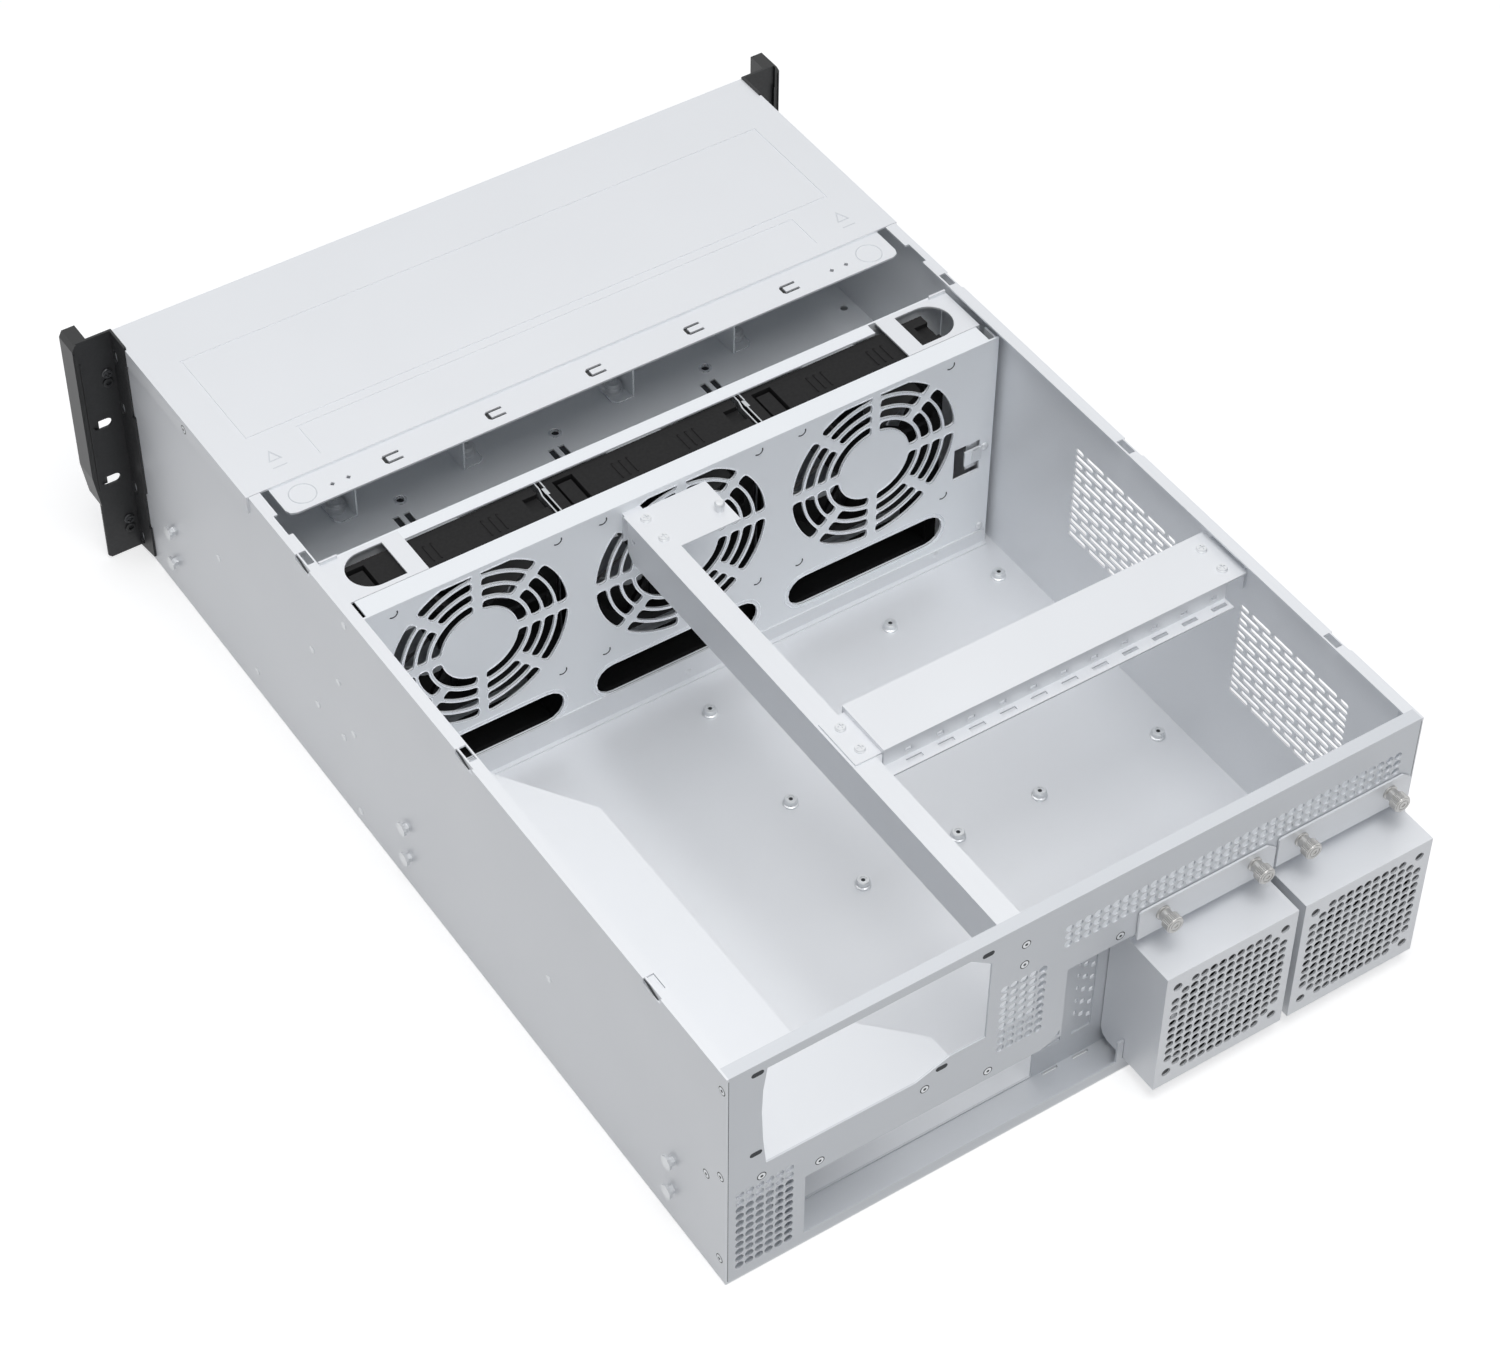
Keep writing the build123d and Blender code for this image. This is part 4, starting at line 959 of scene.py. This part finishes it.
@dataclass
class SlotCovers(Assembly):
    """Blanks of the card slots with three columns of small holes, each a step lower than the last."""

    centres: tuple[float, ...] = (-2.1, -22.42)
    rows: int = 7
    row_pitch: float = 10.4
    column_pitch: float = 5.2
    step: float = 3.4
    top: float = 100.0
    half: float = 8.4
    heights: Point2 = (24.0, 104.0)
    face: float = 628.3

    def build(self) -> None:
        """Cuts the hole field out of each CAD blank and sets a finer sheet there."""
        square = [(-1.7, -1.2), (-1.2, -1.7), (1.2, -1.7), (1.7, -1.2), (1.7, 1.2), (1.2, 1.7), (-1.2, 1.7),
                  (-1.7, 1.2)]
        for number, centre in enumerate(self.centres, 1):
            zone = ((centre - self.half, centre + self.half), self.heights)
            places = [(centre + (1 - column) * self.column_pitch,
                       self.top - row * self.row_pitch - column * self.step)
                      for column in range(3) for row in range(self.rows)]
            # The blanks take the darker sheet: painted shade in the rear recess.
            insert = self.sheet([rectangle(*zone)], ZINC_SHADED, Facing.ACROSS.stand(self.face), hole=square,
                                places=places)
            spans = [(zone[0], (self.face - SHEET - 0.3, self.face + 0.3), zone[1])]
            self.refine(f"slot_blank_{number}", f"slot_cover_{number}", spans, insert, ZINC_SHADED)


@dataclass
class FanModules(Assembly):
    """Tops of the large fan modules: threes of ridges, a finger recess and the dividers' second strip."""

    right: float = -60.0
    ridges: tuple[float, ...] = (154.0, 112.0, 27.0, -17.0, -105.0, -147.0)
    top: float = 163.8
    pitch: float = 4.9

    def build(self) -> None:
        """Cuts the finger recess out of each module and adds the ridges and strips."""
        for number, centre in enumerate(FAN_CENTRES, 1):
            right = centre + self.right
            recess = ((right - 1.0, right + 9.5), (245.5, 257.5), (self.top - 3.0, self.top + 1.0))
            name = f"fan_module_{number}"
            self.stand(f"module_housing_{number}", [self.cut_node(name, [recess])], BLACK_HOUSING,
                       stood_for=name)
        rib = blocks([((-0.35, 0.35), (-6.5, 6.5), (-0.2, 0.5)), ((-0.9, 0.35), (-6.9, -6.2), (-0.2, 0.5))])
        places = [((middle + step * self.pitch, 254.0, self.top), UP)
                  for middle in self.ridges for step in (-1, 0, 1)]
        self.repeat("module_ridges", rib, places, BLACK_HOUSING)
        strips = []
        for centre in FAN_CENTRES[:2]:
            x = centre + self.right - 6.6
            strips += [((x, x + 0.8), (230.6, 244.0), (self.top, self.top + 0.7)),
                       ((x + 1.6, x + 2.4), (249.0, 264.6), (self.top, self.top + 0.7)),
                       ((x, x + 2.4), (243.6, 249.4), (self.top, self.top + 0.25))]
        self.stand("divider_strips", [blocks(strips)], SPRING_STRIP)


@dataclass
class FrontCover(Assembly):
    """Spring catches of the cover's rear lip, closed towards +X, with black pads under their slits as painted
    shade, and the pressed marks of the cover, darker as painted shade.

    Attributes:
        reach: Half the length of a catch.
        half: Half its width.
        cut: Width of its slit.
        zone: Half the length and width of the finer sheet round a catch.
        lip: Underside of the lip.
    """

    catches: tuple[float, ...] = (134.6, 67.7, 0.8, -66.1, -133.0)
    depth: float = 180.6
    reach: float = 5.6
    half: float = 3.8
    cut: float = 1.8
    zone: Point2 = (7.2, 5.0)
    lip: float = 167.8
    top: float = 170.7
    rings: tuple[Point2, ...] = ((190.8, 179.2), (-190.2, 180.5))
    arrows: tuple[Point2, ...] = ((191.1, 139.7), (-193.8, 139.7))

    def slit(self, x: float) -> Loop:
        """Loop of one U-shaped slit, closed towards +X, round a catch's middle.

        Args:
            x: The middle across the case.

        Returns:
            The loop.
        """
        far, near, low, high = x + self.reach, x - self.reach, self.depth - self.half, self.depth + self.half
        inner, under, over = far - self.cut - 0.6, low + self.cut, high - self.cut
        return [(near, low), (far - 1.5, low), (far, low + 1.5), (far, high - 1.5), (far - 1.5, high),
                (near, high), (near, over), (inner, over), (inner, under), (near, under)]

    def build(self) -> None:
        """Cuts the catches into the CAD cover, and adds the rings and arrows in painted shade and the pads of
        painted shade.
        """
        loops, spans, (half, deep) = [], [], self.zone
        for x in self.catches:
            zone = ((x - half, x + half), (self.depth - deep, self.depth + deep))
            spans.append((*zone, (self.lip - 0.3, self.lip + SHEET + 0.3)))
            loops += [rectangle(*zone), self.slit(x)]
        insert = self.sheet(loops, ZINC_SHEET, Facing.LEVEL.stand(self.lip))
        self.refine("cover_sheet", "front_cover", spans, insert, ZINC_SHEET)
        # The rings and arrows are real pressed relief; their darker sheet is painted shade of the pressing.
        ring = lathe([(7.4, -0.1), (8.3, -0.1), (8.0, 0.35), (7.7, 0.35), (7.4, -0.1)], 40)
        marks = [self.set_at(ring, [((x, y, self.lip + SHEET), UP) for x, y in self.rings], ZINC_SHADED)]
        for x, y in self.arrows:
            for loops in ([[(x, y), (x + 4.2, y + 9.0), (x - 4.2, y + 9.0)],
                           [(x, y + 1.9), (x + 3.1, y + 8.4), (x - 3.1, y + 8.4)]],
                          [rectangle((x - 4.4, x + 4.4), (y + 14.3, y + 14.9))]):
                marks.append(self.sheet(loops, ZINC_SHADED, Facing.LEVEL.stand(self.top - 0.1), 0.3))
        self.stand("cover_marks", marks, ZINC_SHADED)
        # Black pads under the catches: painted shade seen through the slits.
        pads = [((x - 6.5, x + 6.5), (175.6, 185.6), (self.lip - 1.0, self.lip)) for x in self.catches]
        self.stand("catch_pads", [blocks(pads)], BLACK_ABS)


@dataclass
class WallMarks(Assembly):
    """Painted shade in the cuts of the small pressed lugs beside the grilles, and the latch part of the cage.
    """

    offset: float = 52.0
    heights: tuple[float, float] = (160.0, 56.7)

    def build(self) -> None:
        """Builds the painted shade in the lugs' cuts and the latch plate."""
        # Dark crescents beside the lugs: painted shade in their cuts.
        arc = [math.radians(angle) for angle in range(50, 201, 15)]
        crescent = [polar(3.3, angle) for angle in arc] + [polar(2.5, angle) for angle in reversed(arc)]
        places = [((centre + side * self.offset, CAGE_REAR, z), BACK)
                  for centre in FAN_CENTRES for side in (1, -1) for z in self.heights]
        self.repeat("wall_lugs", self.sheet([crescent], PAINTED_SHADE, thickness=0.12), places, PAINTED_SHADE)
        plate = [((-205.6, -196.8), (CAGE_REAR - 4.0, CAGE_REAR - 2.8), (66.0, 87.0)),
                 ((-205.6, -199.0), (CAGE_REAR, CAGE_REAR + 1.2), (74.0, 83.0))]
        self.stand("cage_latch", [blocks(plate)], ZINC_PLATE)


@dataclass
class Ears(Assembly):
    """Rack ears with the tall windows of their side flanges, and their screws, bosses and grooves.

    Attributes:
        zones: Height of each CAD window.
        zone_depth: Front and rear edge of the finer sheet there.
        zone_half: Half its height.
        heights: Height of each true window.
        screws: Height of each screw.
        drop: How far below its screw each boss stands.
    """

    zones: tuple[float, ...] = (9.0, 49.0, 113.0, 153.0)
    zone_depth: Point2 = (1.6, 10.4)
    zone_half: float = 6.4
    heights: tuple[float, ...] = (9.1, 50.0, 114.0, 154.0)
    depth: float = 4.7
    size: Point2 = (10.4, 5.4)
    screws: tuple[float, ...] = (142.3, 25.0)
    across: float = 225.4
    drop: float = 7.2

    def build(self) -> None:
        """Cuts the windows out of both CAD ears, sets finer sheets there and adds the trim."""
        tall = [(v, u) for u, v in obround(0, 0, *self.size)]
        for name in ("ear_left", "ear_right"):
            side = 1 if self.nodes[name].data.vertices[0].co.x > 0 else -1
            low = WALL_FACE if side > 0 else -WALL_FACE - EAR_SHEET
            spans, rims = [], []
            for z in self.zones:
                zone = (self.zone_depth, (z - self.zone_half, z + self.zone_half))
                rims.append(rectangle(*zone))
                spans.append(((side * (WALL_FACE - 0.2), side * (WALL_FACE + EAR_SHEET + 0.2)), *zone))
            insert = self.sheet(rims, BLACK_POWDER, Facing.ALONG.stand(low), EAR_SHEET, tall,
                                [(self.depth, z) for z in self.heights])
            self.refine(f"{name}_plate", name, spans, insert, BLACK_POWDER)
        places = [((side * self.across, EAR_SHEET, z), BACK) for side in (1, -1) for z in self.screws]
        lower = [((x, y, z - self.drop), aim) for (x, y, z), aim in places]
        # The screws' lighter grey is painted highlight.
        self.repeat("ear_screws", self.pan_head(3.3, BLACK_SCREW), places, BLACK_SCREW)
        boss = lathe([(1.7, -0.4), (3.3, -0.4), (3.3, 0.9), (2.8, 1.2), (1.7, 1.2), (1.7, -0.4)], 24)
        self.repeat("ear_bosses", boss, lower, BLACK_POWDER)
        rims = []
        for side in (1, -1):
            rims += [((side * 241.0, side * 241.8), (3.0, 3.6), (58.0, 157.0)),
                     ((side * 243.9, side * 244.6), (3.0, 3.6), (70.0, 166.0))]
        self.stand("grip_rims", [blocks(rims)], BLACK_ABS)


@dataclass
class ShelfBrackets(Assembly):
    """Painted highlights along the edges of the shelf brackets, and the captive screws with spring cups on
    their feet.

    Attributes:
        feet: Web of each bracket across the case, and the side that its foot points to.
        screw: Distance of a screw from the web, and from the front of the case.
    """

    feet: tuple[tuple[float, int], ...] = ((135.5, 1), (61.6, -1), (-55.1, 1), (-129.0, -1))
    seat: float = 83.2
    screw: Point2 = (7.2, 118.0)
    rear: float = 129.5
    sole: float = 82.8

    def edges(self) -> list[Mesh]:
        """Rounded rods in the painted-highlight finish along the rear of each bracket and round its foot.

        Returns:
            The rods in the case layout.
        """
        rods = []
        for web, side in self.feet:
            middle, toe, tip = web - side * 0.6, web + side * 10.0, web + side * 13.0
            rise = [(middle, self.rear, 82.4), (middle, self.rear, 118.0), (middle, 116.0, 150.0)]
            foot = [(web, self.rear), (toe, self.rear), (tip, 126.5), (tip, 111.0)]
            for points, radius in ((rise, 0.62), ([(x, y, self.sole) for x, y in foot], 0.55)):
                for start, end in zip(points, points[1:]):
                    way = Vector(end) - Vector(start)
                    rod = lathe([(0, 0), (radius, 0), (radius, way.length), (0, way.length)], 10)
                    rods.append(self.set_at(rod, [(start, tuple(way.normalized()))], ZINC_HIGHLIGHT))
        return rods

    def build(self) -> None:
        """Builds the painted edge highlights, and the cups and heads in place of the plain ones."""
        # Near-white rods along the edges: painted highlight.
        self.stand("bracket_edges", self.edges(), ZINC_HIGHLIGHT, smooth=True)
        cup = lathe([(0, 0), (5.9, 0), (5.9, 0.8), (4.8, 1.4), (4.6, 3.2), (5.8, 3.7), (5.8, 4.5), (0, 4.5)],
                    28)
        head = self.pan_head(4.7, ZINC_PLATE)
        head.transform(Matrix.Translation((0, 0, 4.5)))
        whole = merged([lathe([(0, -1.2), (2.0, -1.2), (2.0, 0), (0, 0)], 12), cup, head])
        places = [((web + side * self.screw[0], self.screw[1], self.seat), UP) for web, side in self.feet]
        self.repeat("spring_screws", whole, places, ZINC_PLATE, stood_for="bracket_screws")


@dataclass
class ShelfTrim(Assembly):
    """Rims of the cable holes with a painted highlight, and plates of painted shade below the locating
    windows and the holes in the plate below the cover.
    """

    holes: tuple[float, ...] = (107.0, 0.5, -106.5)
    hole_depth: float = 131.0
    windows: tuple[float, ...] = (113.0, 7.0, -100.5)
    window_span: Point2 = (141.0, 153.0)
    top: float = 82.0

    def build(self) -> None:
        """Builds the rims, whose bright finish is painted highlight, and the painted-shade plates below the
        openings.
        """
        # The rims' relief is real; their near-white finish is painted highlight.
        ring = lathe([(2.6, -0.1), (4.3, -0.1), (4.0, 0.6), (2.9, 0.8), (2.6, 0.6), (2.6, -0.1)], 24)
        places = [((x, self.hole_depth, self.top), UP) for x in self.holes]
        self.repeat("hole_rims", ring, places, ZINC_HIGHLIGHT, smooth=True)
        # Dark plates under the windows and holes: painted shade.
        under = (self.top - SHEET - 0.9, self.top - SHEET - 0.3)
        plates = [((x - 6.5, x + 6.5), self.window_span, under) for x in self.windows]
        plates += [((x - 3.0, x + 3.0), (self.hole_depth - 3.0, self.hole_depth + 3.0), under)
                   for x in self.holes]
        self.stand("shelf_shades", [blocks(plates)], PAINTED_SHADE)


@dataclass
class BoardStuds(Assembly):
    """Round pressed studs that carry the main board, each by its place on the floor."""

    places: tuple[Point2, ...] = ((-201.9, 310.6), (-201.9, 467.9), (6.9, 310.6), (6.9, 467.9),
                                  (-121.7, 310.6), (6.9, 395.2), (-58.7, 467.9), (-116.3, 467.9))
    height: float = 4.8

    def build(self) -> None:
        """Builds the studs in place of the plain ones."""
        mouth = self.height - 0.5
        stud = lathe([(1.3, 0), (4.7, 0), (4.7, 1.0), (3.9, 1.4), (3.9, mouth), (3.4, self.height),
                      (2.3, self.height), (2.0, mouth), (1.3, mouth), (1.3, 0)], 24)
        places = [((x, y, SHEET), UP) for x, y in self.places]
        self.repeat("board_studs", stud, places, ZINC_PLATE, stood_for="standoffs")
        # Dark core inside each stud: painted shade in its bore.
        bore_shade = lathe([(0, 0.0), (1.4, 0.0), (1.4, 3.9), (0, 3.9)], 12)
        self.repeat("stud_threads", bore_shade, places, PAINTED_SHADE)


@dataclass
class Thumbscrews(Assembly):
    """Knurled captive thumbscrews of the rear fan boxes, from the shank's start over the collar's seat."""

    half: float = 30.2
    height: float = 124.0
    start: float = 645.0
    seat: float = 651.9

    def build(self) -> None:
        """Builds each thumbscrew on the body that turns it."""
        low = self.seat - self.start
        shank = lathe([(0, 0), (2.0, 0), (2.0, low), (0, low)], 16)
        collar = lathe([(0, low), (4.4, low), (4.4, low + 1.0), (3.7, low + 1.4), (3.7, low + 5.4),
                        (0, low + 5.4)], 32)
        grip = knurled(5.3, 0.25, (low + 5.4, low + 5.8, low + 10.5, low + 10.9), 32)
        end = self.sheet([circle(0, 0, 4.7, 24), circle(0, 0, 3.3, 24), circle(0, 0, 2.8, 24),
                          circle(0, 0, 1.5, 6)], NICKEL, Facing.LEVEL.stand(low + 10.9), 0.4)
        centres = [centre + side * self.half for centre in BOX_CENTRES for side in (1, -1)]
        for number, x in enumerate(centres, 1):
            self.repeat(f"thumbscrew_grip_{number}", merged([shank, collar, grip, end]),
                        [((x, self.start, self.height), BACK)], NICKEL, body=f"thumb_body_{number}",
                        stood_for=f"thumbscrew_{number}")


@dataclass
class Screws(Assembly):
    """Small screws and rivets that hold the case together, each by its place."""

    beams: tuple[Point3, ...] = ((37.4, 292.3, 160.0), (37.2, 310.4, 160.0), (37.2, 482.5, 161.2),
                                 (37.2, 500.6, 161.2), (-203.0, 482.8, 164.5), (-203.0, 500.9, 164.5))
    post: Point3 = (-1.0, 308.0, 160.0)
    wall: tuple[Point2, ...] = ((150.6, 17.4), (274.0, 160.9), (230.0, 104.1), (259.7, 103.9), (229.9, 59.6),
                                (259.8, 59.3), (273.0, 73.6), (272.4, 8.8), (114.8, 80.7), (480.7, 73.1))
    rear: tuple[Point2, ...] = ((38.9, 154.3), (38.9, 138.5), (57.0, 64.1), (97.6, 77.7), (161.8, 64.5),
                                (197.3, 78.1), (-23.6, 120.0))
    side: tuple[Point2, ...] = ((646.0, 157.9), (645.0, 87.1), (644.3, 16.7), (632.0, 75.0))
    cover: Point3 = (219.65, 91.4, 163.7)
    cage: tuple[Point2, ...] = ((-176.0, 9.0), (3.0, 9.0), (-208.3, 82.0), (-208.3, 16.5))

    def build(self) -> None:
        """Sets the screws and rivets of the beams, walls, panel and cage."""
        self.repeat("beam_screws", self.pan_head(3.2, ZINC_PLATE), [(place, UP) for place in self.beams],
                    ZINC_PLATE)
        post = lathe([(0, 0), (2.6, 0), (2.6, 3.2), (3.0, 3.2), (3.0, 4.6), (2.2, 5.8), (0, 6.2)], 20)
        self.repeat("wing_post", post, [(self.post, UP)], ZINC_PLATE, smooth=True)
        rivet = lathe([(0, -0.5), (2.4, -0.5), (2.4, 0.3), (1.4, 0.7), (0, 0.7)], 12)
        self.repeat("wall_rivets", rivet, [((WALL_FACE, y, z), LEFT) for y, z in self.wall], ZINC_PLATE)
        places = [((x, PANEL_REAR, z), BACK) for x, z in self.rear]
        places += [((WALL_FACE, y, z), LEFT) for y, z in self.side]
        places.append((self.cover, LEFT))
        head = lathe([(0, -0.3), (2.3, -0.3), (2.3, 0.12), (1.9, 0.18), (0, 0.18)], 20)
        self.repeat("flush_screws", head, places, ZINC_PLATE)
        # Dark rings round the flush heads and dark hex recesses: painted shade in the countersinks.
        gap = lathe([(2.3, -0.2), (2.85, -0.2), (2.85, 0.05), (2.3, 0.05), (2.3, -0.2)], 20)
        recess = lathe([(0, 0.1), (1.0, 0.1), (1.0, 0.2), (0, 0.2)], 6)
        self.repeat("countersinks", merged([gap, recess]), places, PAINTED_SHADE)
        dome = lathe([(0, 0), (2.6, 0), (2.4, 1.0), (1.6, 1.7), (0, 2.0)], 16)
        self.repeat("cage_rivets", dome, [((x, CAGE_REAR, z), BACK) for x, z in self.cage], ZINC_PLATE,
                    smooth=True)


@dataclass
class Gaps(Assembly):
    """Painted shade in the seams and oval slots of the rear panel, and in the slits at the front ends of the
    lid notches.
    """

    slots: tuple[Point2, ...] = ((200.6, 163.2), (200.9, 99.3), (87.5, 88.5), (62.8, 162.1))
    notches: tuple[float, ...] = (221.0, 393.0, 575.0)
    inset: float = 0.95

    def build(self) -> None:
        """Builds the thin plates of painted shade."""
        edge, rear = WALL_FACE - self.inset, PANEL_REAR + 0.06
        # Dark ovals and seams: painted shade in the slots and between the panel and the walls.
        ovals = self.sheet([obround(x, z, 7.4, 3.4) for x, z in self.slots], PAINTED_SHADE,
                           Facing.ACROSS.stand(rear), 0.2)
        seams = [((side * (edge - 0.3), side * edge), (rear - 0.36, rear), (2.0, 168.5)) for side in (1, -1)]
        self.stand("panel_gaps", [ovals, blocks(seams)], PAINTED_SHADE)
        # Dark slits: painted shade at the notches' ends.
        ends = [[(start, 169.4), (start + 9.0, 166.6), (start + 13.0, 166.6), (start + 5.0, 169.5)]
                for start in self.notches]
        self.stand("notch_slits", [self.sheet(ends, PAINTED_SHADE, Facing.ALONG.stand(edge), 0.5)], PAINTED_SHADE)


# Studio


@dataclass
class Studio:
    """White floor, soft lamps and the camera of the photograph.

    Attributes:
        eye: Place of the camera in metres.
        azimuth: Direction that it looks from, in degrees.
        lamps: Place in metres, size and power of each lamp.
        haze: Strength of the world's light.
        half: Half the side of the floor in metres.
        drop: How far the floor lies below the case.
        glow: How much the floor shines by itself where the camera or a reflection sees it.
    """

    eye: Point3 = (0.8272, 1.2449, 1.6058)
    azimuth: float = 146.04
    elevation: float = 46.30
    roll: float = 0.65
    lens: float = 90.12
    sensor: float = 36.0
    lamps: tuple[tuple[Point3, float, float], ...] = (((0.1, 0.95, 2.7), 1.6, 39.0),
                                                      ((0.3, -0.7, 3.0), 2.0, 20.0))
    haze: float = 0.25
    half: float = 9.0
    drop: float = 0.0005
    glow: float = 0.62

    def camera(self) -> None:
        """Stands the camera where the photograph was taken from."""
        a, e, r = (math.radians(value) for value in (self.azimuth, self.elevation, self.roll))
        back = Vector((math.sin(a) * math.cos(e), -math.cos(a) * math.cos(e), math.sin(e)))
        right = Vector((0, 0, 1)).cross(back).normalized()
        up = back.cross(right)
        side = right * math.cos(r) + up * math.sin(r)
        top = up * math.cos(r) - right * math.sin(r)
        data = bpy.data.cameras.new("camera")
        data.lens, data.sensor_width, data.sensor_fit = self.lens, self.sensor, "HORIZONTAL"
        data.clip_start, data.clip_end = 0.1, 30.0
        eye = linked("camera", data)
        eye.matrix_world = Matrix((side, top, back)).transposed().to_4x4()
        eye.location = self.eye
        bpy.context.scene.camera = eye

    def light(self) -> None:
        """Hangs the square soft lamps, which face the middle of the case."""
        for place, size, power in self.lamps:
            data = bpy.data.lights.new("softbox", "AREA")
            data.shape, data.size, data.energy = "SQUARE", size, power
            lamp = linked("softbox", data)
            lamp.location = place
            lamp.rotation_mode = "QUATERNION"
            lamp.rotation_quaternion = (Vector((0, 0, 0.05)) - Vector(place)).to_track_quat("-Z", "Y")

    @staticmethod
    def shown_rays(tree: bpy.types.NodeTree) -> bpy.types.Node:
        """Node that gives 1 for camera, glossy and transmission rays.

        Args:
            tree: The tree that gets it.

        Returns:
            The node.
        """
        path = add_node(tree, "ShaderNodeLightPath").outputs
        total = add_node(tree, "ShaderNodeMath", {0: path["Is Camera Ray"], 1: path["Is Glossy Ray"]},
                         operation="MAXIMUM")
        return add_node(tree, "ShaderNodeMath", {0: total, 1: path["Is Transmission Ray"]},
                        operation="MAXIMUM")

    def world(self) -> None:
        """White world for the eye and a softer one for the light."""
        made = bpy.data.worlds.new("studio")
        bpy.context.scene.world = made
        made.use_nodes = True
        tree = made.node_tree
        tree.nodes.clear()
        soft = add_node(tree, "ShaderNodeBackground", {"Color": linear("F4F8FF"), "Strength": self.haze})
        white = add_node(tree, "ShaderNodeBackground", {"Color": WHITE, "Strength": 1.0})
        mix = add_node(tree, "ShaderNodeMixShader", {0: self.shown_rays(tree), 1: soft, 2: white})
        add_node(tree, "ShaderNodeOutputWorld", {0: mix})

    def floor(self) -> None:
        """Pale floor just under the case."""
        limits = (-self.half, self.half)
        data = mesh_of([(x, y, 0) for x, y in rectangle(limits, limits)], [(0, 1, 2, 3)])
        plane = linked("studio_floor", data)
        plane.location = (0, 0, -self.drop)
        made = bpy.data.materials.new("matt white paper floor")
        made.use_nodes = True
        tree = made.node_tree
        tree.nodes.clear()
        paper = add_node(tree, "ShaderNodeBsdfDiffuse", {"Color": linear("C6C6C6")})
        glow = add_node(tree, "ShaderNodeEmission", {"Color": WHITE, "Strength": self.glow})
        seen = add_node(tree, "ShaderNodeMixShader", {0: self.shown_rays(tree), 2: glow})
        both = add_node(tree, "ShaderNodeAddShader", {0: paper, 1: seen})
        add_node(tree, "ShaderNodeOutputMaterial", {0: both})
        data.materials.append(made)
        plane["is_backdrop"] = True

    def build(self) -> None:
        """Sets up the camera, the world, the lamps and the floor."""
        bpy.context.scene.view_settings.view_transform = "Standard"
        self.camera()
        self.world()
        self.light()
        self.floor()


def dress_nodes(nodes: dict[str, bpy.types.Object], record: dict) -> None:
    """Gives every CAD node the finish of its slot in the record.

    Args:
        nodes: The CAD nodes by name.
        record: The part's record.
    """
    slots = {part["node"]: part["material_slot"] for part in record["subparts"]}
    for name, node in nodes.items():
        finish = NODE_FINISHES.get(name, SLOT_FINISHES.get(slots.get(name), ZINC_SHEET))
        node.data.materials.clear()
        node.data.materials.append(finish.material())


def keep_size(name: str, sizes: dict[str, list[list[float]]]) -> None:
    """Keeps the present box of the object under a name."""
    sizes[name] = [list(corner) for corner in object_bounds()]


def main() -> None:
    """Builds and dresses the case in order, and reports each piece."""
    logging.basicConfig(level=logging.INFO, format="%(message)s")
    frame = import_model()
    sizes: dict[str, list[list[float]]] = {}
    keep_size("cad", sizes)
    Assembly.prepare(frame["nodes"])
    Studio().build()
    dress_nodes(frame["nodes"], frame["record"])
    boxes = [RearFanBox(number, centre) for number, centre in enumerate(BOX_CENTRES, 1)]
    for assembly in (SideVents(), FanWall(), RearPanel(), *boxes, SlotCovers(), FanModules(), FrontCover(),
                     WallMarks(), Ears(), ShelfBrackets(), ShelfTrim(), BoardStuds(), Thumbscrews(), Screws(),
                     Gaps()):
        assembly.build()
    keep_size("visual", sizes)


if __name__ == "__main__":
    main()
